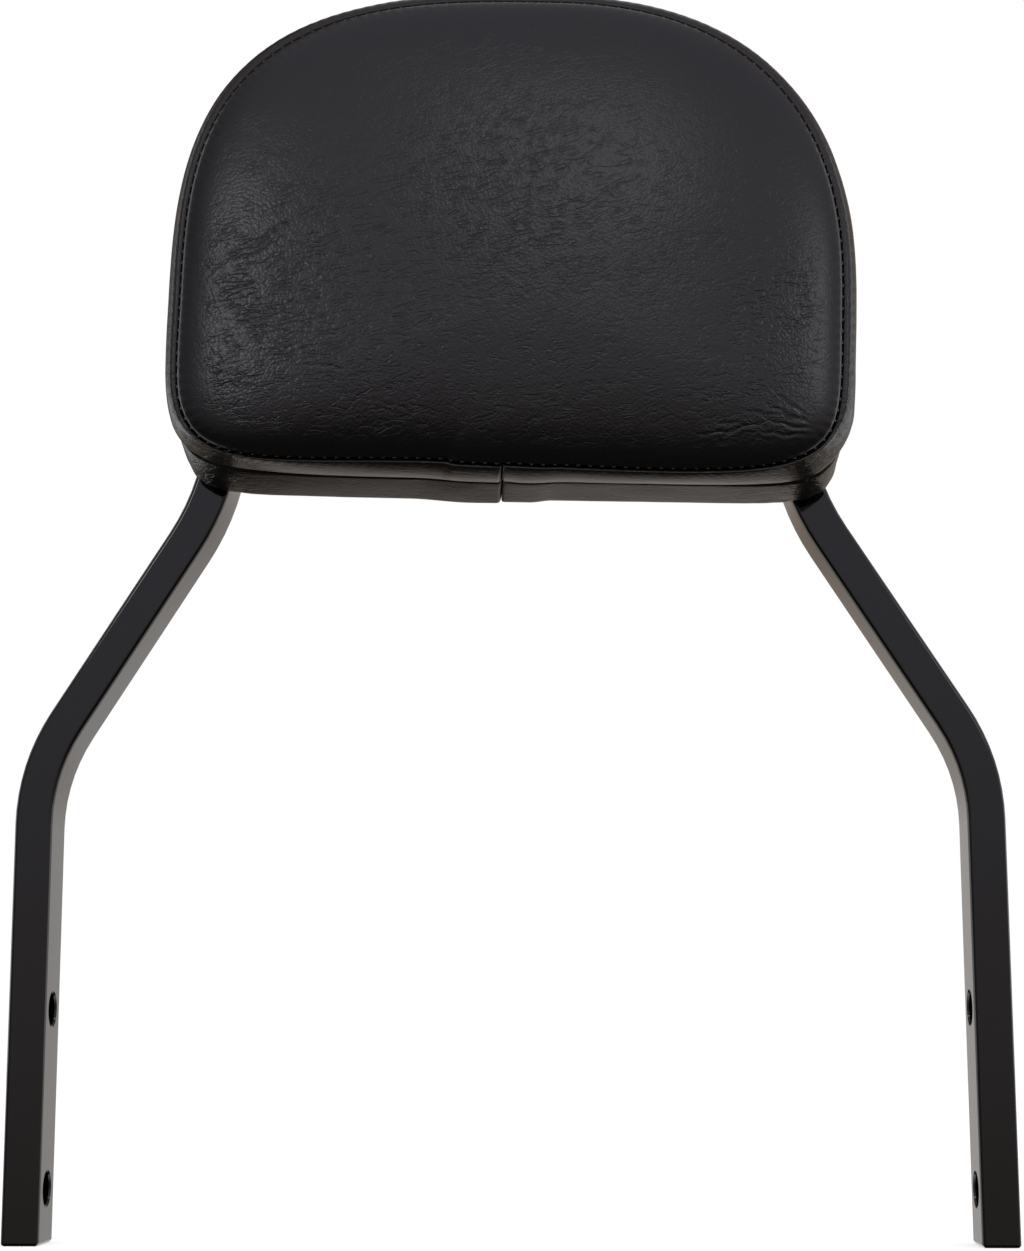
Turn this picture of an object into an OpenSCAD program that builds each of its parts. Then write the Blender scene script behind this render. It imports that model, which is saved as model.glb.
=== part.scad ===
// Passenger backrest for a motorcycle: a bent flat-bar hoop with an upholstered pad.
// Seen from the front, X runs to the right, Y to the back and Z up.
// The origin lies midway between the two legs, at the centre of their two-bolt pattern.

/* [Hoop] */
// Width of the flat bar as seen from the front
bar_t = 12; // [8:0.5:16]
// Depth of the flat bar from front to back
bar_d = 20; // [16:1:30]
// Radius of the bar's rolled edges
edge_r = 1.4; // [0.5:0.1:2.5]
// Width over the outside of the legs
hoop_w = 316; // [280:1:360]
// Height from the leg ends to the corner of the lower bend
leg_h = 149.5; // [120:0.5:200]
// Height from the corner of the lower bend to the corner of the upper one
arm_rise = 93.5; // [70:0.5:120]
// Lean of each arm from the vertical, in degrees
arm_angle = 32.2; // [20:0.1:36]
// Centre-line radius of the lower bend
lower_bend_r = 62; // [40:1:90]
// Centre-line radius of the upper bend
upper_bend_r = 79; // [40:1:90]
// Length of each upright between its two bends
upright_l = 52.2; // [40:0.1:80]
// Centre-line radius of the two top bends
top_bend_r = 50; // [40:1:60]
// Bevel round each leg's cut end
foot_bevel = 0.9; // [0.3:0.1:2]

/* [Leg holes] */
// Diameter of each leg hole
hole_d = 10.5; // [8:0.1:12]
// Distance between a leg's two holes
hole_pitch = 56; // [40:1:80]
// Distance from a leg's end to its lower hole
hole_edge = 17; // [14:0.5:25]
// Bevel at both rims of each leg hole
hole_bevel = 0.6; // [0.2:0.1:1]

/* [Straps] */
// Thickness of the two cross straps
strap_t = 4; // [3:0.5:6]
// Height of each cross strap
strap_h = 28; // [22:1:34]
// How far each strap's ends stay inside the outer face of the hoop
strap_margin = 3.5; // [3:0.5:5]
// Corner radius of the straps
strap_corner_r = 4; // [2:0.5:8]
// Height of the pad's widest line above the lower strap's centre
strap_drop = 13; // [8:1:20]
// Distance between the centres of the two straps
strap_pitch = 54; // [46:1:60]
// Size of the weld beads
weld_size = 2.4; // [1.5:0.1:3]

/* [Pad] */
// Width of the pad
pad_w = 217; // [212:1:250]
// Height of the pad above its widest line
pad_top = 109; // [104:1:130]
// Height of the pad below its widest line
pad_low = 51; // [46:1:60]
// Height of the hoop's top above the pad's widest line
pad_drop = 89; // [80:1:100]
// Squareness of the upper outline, where 2 is an ellipse
top_power = 2.8; // [2.4:0.1:3.4]
// Squareness of the lower outline at the front seam
front_power = 4.4; // [3.6:0.1:6]
// Squareness of the lower outline at the back edge
back_power = 7.5; // [5:0.5:9]
// Thickness of the base board
board_t = 12; // [9:0.5:15]
// Thickness of the leather-look cover
skin_t = 1.4; // [1:0.1:2]
// Depth of the front border band, from one seam to the other
front_band_d = 17; // [12:0.5:24]
// Depth of the rear border band, from its seam to the back of the pad
rear_band_d = 20; // [16:0.5:28]
// Height of the front panel's crown over its seam
crown_h = 10; // [5:0.5:16]
// How far the front seam lies inside the widest outline
front_seam_in = 4.2; // [3:0.1:6]
// How far the rear seam lies inside the widest outline
rear_seam_in = 2.2; // [1:0.1:4]
// How far the back edge lies inside the widest outline
back_edge_in = 3; // [2:0.1:5]
// Swell of the front border band between its seams
front_puff = 3.2; // [1:0.1:4]
// Swell of the rear border band
rear_puff = 1.6; // [0.5:0.1:2]
// Width of the hem that is folded over the back of the board
hem_w = 17; // [12:1:22]

/* [Fasteners] */
// Half the distance between the left and right pad bolts
bolt_x = 38; // [30:1:48]
// Thread diameter of the pad bolts
bolt_d = 8; // [6:1:8]
// Length of the pad bolts under the head
bolt_l = 20; // [18:1:24]
// Width across the flats of the bolt heads
head_af = 13; // [10:1:14]
// Height of the bolt heads
head_h = 5.3; // [4:0.1:6]
// Outer diameter of the flat washers
washer_d = 16; // [14:1:18]
// Thickness of the flat washers
washer_t = 1.6; // [1:0.1:2]
// Outer diameter of the spring washers
spring_d = 14.2; // [13:0.1:14.8]
// Thickness of the spring washers
spring_t = 2; // [1.5:0.1:2.4]
// Diameter of the tee nuts' flanges
flange_d = 19; // [17:0.5:22]
// Thickness of the tee nuts' flanges
flange_t = 1.3; // [1:0.1:1.8]
// Wall of the tee nuts' barrels
barrel_wall = 0.95; // [0.7:0.05:1.3]
// Length of the tee nuts' barrels under the flange
barrel_l = 8.5; // [7:0.5:9]
// Length of the tee nuts' prongs
prong_l = 5; // [3:0.5:7]

/* [Clearances] */
// Gap between a soft piece and its neighbour
soft_gap = 0.3; // [0.2:0.05:0.5]
// Gap between the pad's back and the straps
seat_gap = 0.3; // [0.1:0.05:0.5]
// Gap all round a bolt in a hole of the straps, the back cover or a washer
bolt_gap = 0.4; // [0.2:0.05:0.8]
// Gap all round a tee nut in the board
nut_gap = 0.15; // [0.1:0.05:0.3]
// Gap all round a bolt in its tee nut
thread_gap = 0.1; // [0.05:0.05:0.2]

/* [Hidden] */

// Heights and centre lines of the hoop
foot_z = -hole_edge - hole_pitch / 2;
leg_x = (hoop_w - bar_t) / 2;
knee_z = foot_z + leg_h;
shoulder_z = knee_z + arm_rise;
upright_x = leg_x - arm_rise * tan(arm_angle);
knee_reach = lower_bend_r * tan(arm_angle / 2);
shoulder_reach = upper_bend_r * tan(arm_angle / 2);
arm_l = arm_rise / cos(arm_angle) - knee_reach - shoulder_reach;
upright_z = shoulder_z + shoulder_reach;
top_bend_z = upright_z + upright_l;
hoop_top_z = top_bend_z + top_bend_r;
// Each straight runs a little way into its bends, which are a hair thicker than it is
lap = 0.6;
bend_swell = 0.01;

// Depths, from the straps on the hoop's front face to the front of the pad
strap_back_y = -bar_d / 2 - bend_swell;
strap_front_y = strap_back_y - strap_t;
pad_back_y = strap_front_y - seat_gap;
board_back_y = pad_back_y - skin_t;
board_front_y = board_back_y - board_t;
rear_seam_y = pad_back_y - rear_band_d;
front_seam_y = rear_seam_y - front_band_d;

// The straps lie behind the pad, and the bolts pass through them
strap_l = 2 * (upright_x + bar_t / 2 - strap_margin);
pad_z = hoop_top_z + bar_t / 2 - pad_drop;
lower_strap_z = pad_z - strap_drop;
upper_strap_z = lower_strap_z + strap_pitch;
bolt_hole_d = bolt_d + 2 * bolt_gap;
barrel_d = bolt_d + 2 * thread_gap + 2 * barrel_wall;
spring_seat_y = strap_back_y + washer_t;
head_seat_y = spring_seat_y + spring_t;
prong_w = 2.4;
prong_t = 1.1;
prong_count = 4;
tip_bevel = 1;
split_w = 1.2;
// Share of a bolt head's width across the flats that its outer face keeps inside the bevel
head_face_share = 0.95;

// The pad's outline and the steps that its soft solids are drawn in
outline_steps = 88;
band_steps = 6;
hem_lining_r = 0.2;
hem_corner_r = skin_t + hem_lining_r;
hem_bend_in = back_edge_in + hem_corner_r;
hem_bend_y = pad_back_y - hem_corner_r;
// The crown falls steeply at its edge, by edge_share of its height, and gently over the rest
edge_share = 0.62;
flat_power = 5;
edge_power = 0.55;
// Shares of the outline at which the crown's rings lie, closer where it curves more
crown_rings = [0.18, 0.42, 0.66, 0.8, 0.89, 0.95, 0.985, 1];
// Fullness of a band's swell, where 1 is a parabola
puff_power = 0.6;
board_in = back_edge_in + skin_t + soft_gap;
overcut = 1;

$fn = 64;

// Puts a fastener's axis at the pad bolt of the given side and strap height, pointing to the back
module at_bolt(side, z) {
    translate([side * bolt_x, 0, z])
        rotate([-90, 0, 0])
            children();
}

// A rectangle with true round corners, centred on the origin
module round_rect(w, h, r) {
    square([w - 2 * r, h], center = true);
    square([w, h - 2 * r], center = true);
    for (x = [-1, 1], y = [-1, 1])
        translate([x * (w / 2 - r), y * (h / 2 - r)])
            circle(r);
}

module bar_profile(swell = 0) {
    round_rect(bar_t + 2 * swell, bar_d + 2 * swell, edge_r + swell);
}

// A straight of the bar that stands on the XY plane and runs on into the bend at its top.
// It runs on into a bend at its foot too, unless it is open there.
module straight_bar(length, open_foot = false) {
    foot_lap = open_foot ? 0 : lap;
    translate([0, 0, -foot_lap])
        linear_extrude(length + lap + foot_lap)
            bar_profile();
}

// A bend of the bar in the XZ plane about the given centre, from the start angle on by sweep
module bent_bar(x, z, radius, start, sweep) {
    translate([x, 0, z])
        rotate([90, 0, 0])
            rotate([0, 0, start])
                rotate_extrude(angle = sweep)
                    translate([radius, 0])
                        bar_profile(bend_swell);
}

// One leg with its knee and arm, on the right-hand side
module lower_half() {
    knee_x = leg_x - lower_bend_r;
    knee_centre_z = knee_z - knee_reach;
    translate([leg_x, 0, foot_z])
        straight_bar(leg_h - knee_reach, open_foot = true);
    bent_bar(knee_x, knee_centre_z, lower_bend_r, 0, arm_angle);
    translate([knee_x, 0, knee_centre_z])
        rotate([0, -arm_angle, 0])
            translate([lower_bend_r, 0, 0])
                straight_bar(arm_l);
}

// The upper bend, the upright and the top bend, on the right-hand side
module upper_half() {
    bent_bar(upright_x + upper_bend_r, upright_z, upper_bend_r, 180, arm_angle);
    translate([upright_x, 0, upright_z])
        straight_bar(upright_l);
    bent_bar(upright_x - top_bend_r, top_bend_z, top_bend_r, 0, 90);
}

module leg_hole(z) {
    translate([leg_x, 0, z])
        rotate([0, 90, 0]) {
            cylinder(d = hole_d, h = bar_t + 2 * overcut, center = true);
            for (face = [0, 180])
                rotate([face, 0, 0])
                    translate([0, 0, bar_t / 2 - hole_bevel])
                        cylinder(
                            d1 = hole_d,
                            d2 = hole_d + 2 * (hole_bevel + overcut),
                            h = hole_bevel + overcut
                        );
        }
}

// What the bevel takes off the four edges of a leg's cut end
module foot_cut() {
    translate([leg_x, 0, foot_z]) {
        for (side = [-1, 1]) {
            translate([side * bar_t / 2, 0, 0])
                rotate([0, 45, 0])
                    cube([foot_bevel * sqrt(2), bar_d + 2 * overcut, foot_bevel * sqrt(2)], center = true);
            translate([0, side * bar_d / 2, 0])
                rotate([45, 0, 0])
                    cube([bar_t + 2 * overcut, foot_bevel * sqrt(2), foot_bevel * sqrt(2)], center = true);
        }
    }
}

module hoop_bar() {
    color("#1d1d1f")
        difference() {
            union() {
                for (side = [0, 1])
                    mirror([side, 0, 0]) {
                        lower_half();
                        upper_half();
                    }
                translate([-(upright_x - top_bend_r), 0, hoop_top_z])
                    rotate([0, 90, 0])
                        straight_bar(2 * (upright_x - top_bend_r));
            }
            for (side = [0, 1])
                mirror([side, 0, 0]) {
                    for (z = [-1, 1])
                        leg_hole(z * hole_pitch / 2);
                    foot_cut();
                }
        }
}

// A flat strap across the hoop's front face, with its two bolt holes
module strap(z) {
    color("#1d1d1f")
        translate([0, strap_back_y, z])
            rotate([90, 0, 0])
                linear_extrude(strap_t)
                    difference() {
                        round_rect(strap_l, strap_h, strap_corner_r);
                        for (side = [-1, 1])
                            translate([side * bolt_x, 0])
                                circle(d = bolt_hole_d);
                    }
}

module lower_strap() {
    strap(lower_strap_z);
}

module upper_strap() {
    strap(upper_strap_z);
}

// Round-faced beads along the strap's top and bottom edges, where they cross the hoop
module strap_welds(z) {
    bead_end = upright_x - bar_t / 2 + edge_r;
    bead_l = strap_l / 2 - strap_corner_r - bead_end + edge_r;
    color("#242426")
        for (side = [0, 1], edge = [0, 1])
            mirror([side, 0, 0])
                translate([bead_end, strap_back_y, z])
                    mirror([0, 0, edge])
                        translate([0, 0, strap_h / 2])
                            rotate([90, 0, 90])
                                linear_extrude(bead_l)
                                    intersection() {
                                        circle(weld_size);
                                        translate([-weld_size, 0])
                                            square(weld_size);
                                    }
}

module lower_strap_welds() {
    strap_welds(lower_strap_z);
}

module upper_strap_welds() {
    strap_welds(upper_strap_z);
}

// Distance from the pad's centre to its outline in direction a, for an outline drawn in by inset
function outline_r(a, inset, low_power) =
    let (
        upper = sin(a) >= 0,
        power = upper ? top_power : low_power,
        across = abs(cos(a)) / (pad_w / 2 - inset),
        up = abs(sin(a)) / ((upper ? pad_top : pad_low) - inset)
    )
    pow(pow(across, power) + pow(up, power), -1 / power);

// Direction of step i, from the middle of the bottom and round by the right, closer at the corners
function outline_angle(i) =
    let (
        turn = -90 + 360 * i / outline_steps,
        height = sin(turn) >= 0 ? pad_top : pad_low
    )
    atan2(height * sin(turn), pad_w / 2 * cos(turn));

// A point of the pad at depth y, on the outline of direction a drawn in by inset and scaled by share
function pad_point(a, inset, low_power, y, share = 1) =
    let (r = share * outline_r(a, inset, low_power))
    [r * cos(a), y, pad_z + r * sin(a)];

// A closed outline of the pad as flat points
function flat_outline(inset, low_power) = [
    for (i = [0:outline_steps - 1])
        let (a = outline_angle(i), r = outline_r(a, inset, low_power))
        [r * cos(a), r * sin(a)]
];

// Squareness of the lower outline at depth y, from the front seam to the back edge
function power_at(y) =
    front_power + (back_power - front_power) * min(1, max(0, (y - front_seam_y) / (pad_back_y - front_seam_y)));

// How far a band is drawn in at share s of its depth, swelling between the insets of its edges
function band_in(s, start_in, end_in, puff) =
    start_in + (end_in - start_in) * s - puff * pow(4 * s * (1 - s), puff_power);

function front_band_in(s) = band_in(s, front_seam_in, rear_seam_in, front_puff);

function rear_band_in(s) = band_in(s, rear_seam_in, back_edge_in, rear_puff);

// Depth of the front panel's face at share s of the way from its centre to its seam
function crown_y(s, base_y, height) =
    let (
        edge = pow(1 - pow(s, flat_power), edge_power),
        dome = 1 - s * s
    )
    base_y - height * (edge_share * edge + (1 - edge_share) * dome);

// Joins a row of sections into a strip. Each section is a face line and, in reverse order, a lining line
// of as many points, so the strip's two ends are closed by quads from one line to the other.
module skin_strip(sections) {
    count = len(sections[0]);
    last = (len(sections) - 1) * count;
    walls = [
        for (i = [0:len(sections) - 2], j = [0:count - 1])
            let (
                a = i * count + j,
                b = i * count + (j + 1) % count
            )
            each [[a, a + count, b], [b, a + count, b + count]]
    ];
    ends = [
        for (j = [0:count / 2 - 2])
            let (k = count - 1 - j)
            each [
                [j, j + 1, k], [j + 1, k - 1, k],
                [last + j, last + k, last + j + 1], [last + j + 1, last + k, last + k - 1]
            ]
    ];
    polyhedron(points = [for (section = sections) each section], faces = concat(walls, ends));
}

// Stations round a border band, whose ends meet at the middle of the bottom
function band_angle(i) =
    let (slit = atan(soft_gap / 2 / pad_low))
    i == 0 ? -90 + slit : i == outline_steps ? -90 - slit : outline_angle(i);

module border_band(section) {
    skin_strip([
        for (i = [0:outline_steps])
            [for (p = section) pad_point(band_angle(i), p[0], power_at(p[1]), p[1])]
    ]);
}

// Inset and depth of step i of the front band's face
function front_band_face(i) =
    let (s = i / band_steps)
    [front_band_in(s), front_seam_y + soft_gap / 2 + (front_band_d - soft_gap) * s];

module front_border_band() {
    face = [for (i = [0:band_steps]) front_band_face(i)];
    lining = [for (p = face) [p[0] + skin_t, p[1]]];
    color("#303033")
        border_band(concat(face, reversed(lining)));
}

// The bend of the rear band round the board's back edge, for one of its faces
function hem_bend(radius) = [
    for (a = [0, 45, 90])
        [hem_bend_in - radius * cos(a), hem_bend_y + radius * sin(a)]
];

module rear_border_band() {
    start_y = rear_seam_y + soft_gap / 2;
    depth = hem_bend_y - start_y;
    side = [for (i = [0:band_steps - 1]) let (s = i / band_steps) [rear_band_in(s), start_y + depth * s]];
    face = concat(side, hem_bend(hem_corner_r), [[back_edge_in + hem_w, pad_back_y]]);
    lining = concat(
        [for (p = side) [p[0] + skin_t, p[1]]],
        hem_bend(hem_corner_r - skin_t),
        [[back_edge_in + hem_w, board_back_y]]
    );
    color("#45423f")
        border_band(concat(face, reversed(lining)));
}

// Joins closed rings into one solid, closed by a fan to a middle point at the first ring and at the last
module stacked_rings(rings, first_y, last_y) {
    count = outline_steps;
    last = (len(rings) - 1) * count;
    first_middle = last + count;
    last_middle = first_middle + 1;
    middles = [[0, first_y, pad_z], [0, last_y, pad_z]];
    walls = [
        for (i = [0:len(rings) - 2], j = [0:count - 1])
            let (
                a = i * count + j,
                b = i * count + (j + 1) % count
            )
            each [[a, b, a + count], [b, b + count, a + count]]
    ];
    ends = [
        for (j = [0:count - 1])
            let (next = (j + 1) % count)
            each [[first_middle, next, j], [last_middle, last + j, last + next]]
    ];
    polyhedron(points = concat([for (ring = rings) each ring], middles), faces = concat(walls, ends));
}

function pad_ring(inset, low_power, y, share = 1) = [
    for (i = [0:outline_steps - 1])
        pad_point(outline_angle(i), inset, low_power, y, share)
];

// The crowned rings of a face whose edge lies at base_y, from its centre out
function crown_ring_list(inset, base_y, height) = [
    for (s = crown_rings)
        pad_ring(inset, front_power, crown_y(s, base_y, height), s)
];

function reversed(list) = [for (i = [len(list) - 1:-1:0]) list[i]];

module front_panel() {
    edge_y = front_seam_y - soft_gap / 2;
    face = crown_ring_list(front_seam_in, edge_y, crown_h);
    lining = crown_ring_list(front_seam_in + skin_t, edge_y, crown_h - skin_t);
    color("#37363a")
        stacked_rings(
            concat(face, reversed(lining)),
            crown_y(0, edge_y, crown_h),
            crown_y(0, edge_y, crown_h - skin_t)
        );
}

// The foam fills the cover from the front of the board to the crown
module foam_core() {
    cover = skin_t + soft_gap;
    foam_back_y = board_front_y - soft_gap;
    pocket_y = min(board_front_y - flange_t, head_seat_y - bolt_l) - soft_gap;
    face = crown_ring_list(front_seam_in + 2 * cover, front_seam_y + cover, crown_h);
    sides = [
        for (i = [1:band_steps - 1])
            let (p = front_band_face(i))
            pad_ring(p[0] + cover, power_at(p[1]), p[1])
    ];
    back = [
        pad_ring(rear_seam_in + cover, power_at(rear_seam_y), rear_seam_y),
        pad_ring(rear_seam_in + cover, power_at(foam_back_y), foam_back_y)
    ];
    color("#d8c98a")
        difference() {
            stacked_rings(
                concat(face, sides, back),
                crown_y(0, front_seam_y + cover, crown_h),
                foam_back_y
            );
            for (side = [-1, 1], z = [lower_strap_z, upper_strap_z])
                at_bolt(side, z)
                    translate([0, 0, pocket_y])
                        cylinder(d = flange_d + 2 * soft_gap, h = board_front_y - pocket_y);
        }
}

module prongs(gap) {
    for (i = [0:prong_count - 1])
        rotate([0, 0, i * 360 / prong_count])
            translate([flange_d / 2 - prong_t - gap, -prong_w / 2 - gap, -gap])
                cube([prong_t + 2 * gap, prong_w + 2 * gap, prong_l + 2 * gap]);
}

module base_board() {
    color("#2a2724")
        difference() {
            translate([0, board_back_y, pad_z])
                rotate([90, 0, 0])
                    linear_extrude(board_t)
                        polygon(flat_outline(board_in, back_power));
            for (side = [-1, 1], z = [lower_strap_z, upper_strap_z])
                at_bolt(side, z) {
                    translate([0, 0, board_front_y - overcut])
                        cylinder(d = barrel_d + 2 * nut_gap, h = board_t + 2 * overcut);
                    translate([0, 0, board_front_y])
                        prongs(nut_gap);
                }
        }
}

module back_cover() {
    color("#232325")
        translate([0, pad_back_y, pad_z])
            rotate([90, 0, 0])
                linear_extrude(skin_t)
                    difference() {
                        polygon(flat_outline(back_edge_in + hem_w + soft_gap, back_power));
                        for (side = [-1, 1], z = [lower_strap_z, upper_strap_z])
                            translate([side * bolt_x, z - pad_z])
                                circle(d = bolt_hole_d);
                    }
}

// A tee nut pressed into the board from its foam side
module tee_nut(side, z) {
    color("#b9b7ad")
        at_bolt(side, z)
            translate([0, 0, board_front_y])
                difference() {
                    union() {
                        translate([0, 0, -flange_t])
                            cylinder(d = flange_d, h = flange_t);
                        cylinder(d = barrel_d, h = barrel_l);
                        prongs(0);
                    }
                    translate([0, 0, -flange_t - overcut])
                        cylinder(d = bolt_d + 2 * thread_gap, h = barrel_l + flange_t + 2 * overcut);
                }
}

// A hexagon bolt with a bevelled head, its shank pointing to the front
module pad_bolt(side, z) {
    head_d = head_af / cos(30);
    color("#a9a9a6")
        at_bolt(side, z)
            translate([0, 0, head_seat_y]) {
                intersection() {
                    cylinder(d = head_d, h = head_h, $fn = 6);
                    cylinder(d1 = head_d + 2 * head_h * sqrt(3), d2 = head_af * head_face_share, h = head_h);
                }
                translate([0, 0, tip_bevel - bolt_l])
                    cylinder(d = bolt_d, h = bolt_l - tip_bevel);
                translate([0, 0, -bolt_l])
                    cylinder(d1 = bolt_d - 2 * tip_bevel, d2 = bolt_d, h = tip_bevel);
            }
}

// A split spring washer, shown flattened under the bolt's head
module spring_washer(side, z) {
    color("#9c9c99")
        at_bolt(side, z)
            translate([0, 0, spring_seat_y])
                difference() {
                    cylinder(d = spring_d, h = spring_t);
                    translate([0, 0, -overcut])
                        cylinder(d = bolt_hole_d, h = spring_t + 2 * overcut);
                    translate([0, -split_w / 2, -overcut])
                        cube([spring_d, split_w, spring_t + 2 * overcut]);
                }
}

module flat_washer(side, z) {
    color("#b4b4b0")
        at_bolt(side, z)
            translate([0, 0, strap_back_y])
                difference() {
                    cylinder(d = washer_d, h = washer_t);
                    translate([0, 0, -overcut])
                        cylinder(d = bolt_hole_d, h = washer_t + 2 * overcut);
                }
}

hoop_bar();
lower_strap();
upper_strap();
lower_strap_welds();
upper_strap_welds();
base_board();
back_cover();
foam_core();
front_panel();
front_border_band();
rear_border_band();
tee_nut(-1, lower_strap_z);  // tee_nut_lower_left
tee_nut(1, lower_strap_z);  // tee_nut_lower_right
tee_nut(-1, upper_strap_z);  // tee_nut_upper_left
tee_nut(1, upper_strap_z);  // tee_nut_upper_right
pad_bolt(-1, lower_strap_z);  // bolt_lower_left
pad_bolt(1, lower_strap_z);  // bolt_lower_right
pad_bolt(-1, upper_strap_z);  // bolt_upper_left
pad_bolt(1, upper_strap_z);  // bolt_upper_right
spring_washer(-1, lower_strap_z);  // spring_washer_lower_left
spring_washer(1, lower_strap_z);  // spring_washer_lower_right
spring_washer(-1, upper_strap_z);  // spring_washer_upper_left
spring_washer(1, upper_strap_z);  // spring_washer_upper_right
flat_washer(-1, lower_strap_z);  // flat_washer_lower_left
flat_washer(1, lower_strap_z);  // flat_washer_lower_right
flat_washer(-1, upper_strap_z);  // flat_washer_upper_left
flat_washer(1, upper_strap_z);  // flat_washer_upper_right
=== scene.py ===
"""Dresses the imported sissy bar: a gloss-painted flat-bar hoop with a stitched, crowned backrest pad.

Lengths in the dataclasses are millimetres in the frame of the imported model: X to the right seen from
the front, Y to the back, Z up, with the origin midway between the legs at the centre of their holes.
"""

import logging
import math
from dataclasses import dataclass, field
from enum import Enum
from typing import Any

import bpy
import numpy as np
from mathutils import Matrix, Vector


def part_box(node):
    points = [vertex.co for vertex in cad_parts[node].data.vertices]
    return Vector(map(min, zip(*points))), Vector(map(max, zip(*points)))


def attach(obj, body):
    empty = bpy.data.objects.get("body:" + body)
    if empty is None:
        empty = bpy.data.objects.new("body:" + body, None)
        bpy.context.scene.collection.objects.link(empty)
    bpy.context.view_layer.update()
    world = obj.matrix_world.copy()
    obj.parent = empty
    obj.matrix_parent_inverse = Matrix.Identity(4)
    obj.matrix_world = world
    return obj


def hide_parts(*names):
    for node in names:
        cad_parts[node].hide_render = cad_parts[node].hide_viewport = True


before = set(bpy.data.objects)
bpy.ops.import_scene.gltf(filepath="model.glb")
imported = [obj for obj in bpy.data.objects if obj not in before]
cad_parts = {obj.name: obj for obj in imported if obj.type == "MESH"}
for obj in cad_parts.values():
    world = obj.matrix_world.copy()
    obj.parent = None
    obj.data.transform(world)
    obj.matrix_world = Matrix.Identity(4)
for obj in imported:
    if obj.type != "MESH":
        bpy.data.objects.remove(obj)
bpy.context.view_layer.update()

Array = np.ndarray
Colour = tuple[float, float, float, float]
Tree = bpy.types.NodeTree
Socket = bpy.types.NodeSocket

LOG = logging.getLogger("sissy_bar")
MM = 0.001
BODY = "root"


class Slot(Enum):
    """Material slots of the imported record."""

    HOOP_PAINT = "hoop_paint"
    STRAP_PAINT = "strap_paint"
    BOARD_WOOD = "board_wood"
    BACK_SHEET = "back_sheet"
    FOAM = "foam"
    PANEL_VINYL = "panel_vinyl"
    BAND_VINYL = "band_vinyl"
    ZINC_STEEL = "zinc_steel"


class Shading(Enum):
    """How the faces of a new mesh are shaded."""

    SMOOTH = "smooth"
    CREASED = "creased"


def srgb(code: str) -> Colour:
    """Turns an sRGB hex colour into the linear one that Blender's sockets take.

    Args:
        code: Six hex digits with a leading hash.

    Returns:
        Linear red, green and blue with a full alpha.
    """
    parts = [int(code[i : i + 2], 16) / 255 for i in (1, 3, 5)]
    linear = [c / 12.92 if c <= 0.04045 else ((c + 0.055) / 1.055) ** 2.4 for c in parts]
    return (linear[0], linear[1], linear[2], 1.0)


def smoothstep(value: Array, low: float, high: float) -> Array:
    """Rises from 0 at low to 1 at high along a smooth S curve.

    Args:
        value: Numbers to map.
        low: Where the curve leaves 0.
        high: Where the curve reaches 1.

    Returns:
        The mapped numbers.
    """
    t = np.clip((value - low) / (high - low), 0.0, 1.0)
    return t * t * (3.0 - 2.0 * t)


def bell(distance: Array, width: float) -> Array:
    """Gives a Gaussian bell of the given width in millimetres: 1 at distance 0."""
    return np.exp(-((distance / width) ** 2))


@dataclass(frozen=True)
class LatticeNoise:
    """Smooth noise: seeded random numbers at the corners of a lattice, blended by S curves between them.

    Attributes:
        cell: Lattice spacing along x, y and z in millimetres.
        seed: Seed of the random numbers.
    """

    cell: tuple[float, float, float]
    seed: int

    SIDE = 64

    def at(self, x: Array, y: Array, z: Array) -> Array:
        """Reads the noise, from -1 to 1, at points given in millimetres."""
        table = np.random.default_rng(self.seed).uniform(-1.0, 1.0, (self.SIDE,) * 3)
        scaled = [np.asarray(c, dtype=float) / s for c, s in zip((x, y, z), self.cell)]
        scaled = np.broadcast_arrays(*scaled)
        base = [np.floor(c).astype(int) for c in scaled]
        blend = [smoothstep(c - b, 0.0, 1.0) for c, b in zip(scaled, base)]
        total = np.zeros_like(scaled[0])
        for corner in np.ndindex(2, 2, 2):
            index = tuple((b + k) % self.SIDE for b, k in zip(base, corner))
            weight = np.ones_like(total)
            for part, k in zip(blend, corner):
                weight = weight * (part if k else 1.0 - part)
            total = total + weight * table[index]
        return total

    def creases(self, x: Array, y: Array, z: Array, sharpness: float = 3.0) -> Array:
        """Gives thin lines, 1 on the curves where the noise crosses zero and falling fast beside them."""
        return np.clip(1.0 - np.abs(self.at(x, y, z)) * sharpness, 0.0, 1.0) ** 2


def bend(start_deg: float, end_deg: float, radius: float, steps: int) -> tuple[Array, Array]:
    """Walks along a circular bend of the covering, from its start at zero.

    Angle 0 points outwards from the pad's outline and 90 to the back.

    Args:
        start_deg: Direction of travel at the start.
        end_deg: Direction of travel at the end.
        radius: Radius of the bend.
        steps: Number of points after the start.

    Returns:
        Distances outwards and to the back of the points.
    """
    start = math.radians(start_deg)
    turn = np.linspace(start, math.radians(end_deg), steps + 1)[1:]
    sign = 1.0 if end_deg > start_deg else -1.0
    return sign * radius * (np.sin(turn) - math.sin(start)), -sign * radius * (np.cos(turn) - math.cos(start))


def in_space(flat: Array, y: Array | float) -> Array:
    """Joins points seen from the front, as x and z, with their depths."""
    return np.stack([flat[..., 0], np.broadcast_to(y, flat.shape[:-1]), flat[..., 1]], axis=-1)


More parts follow.
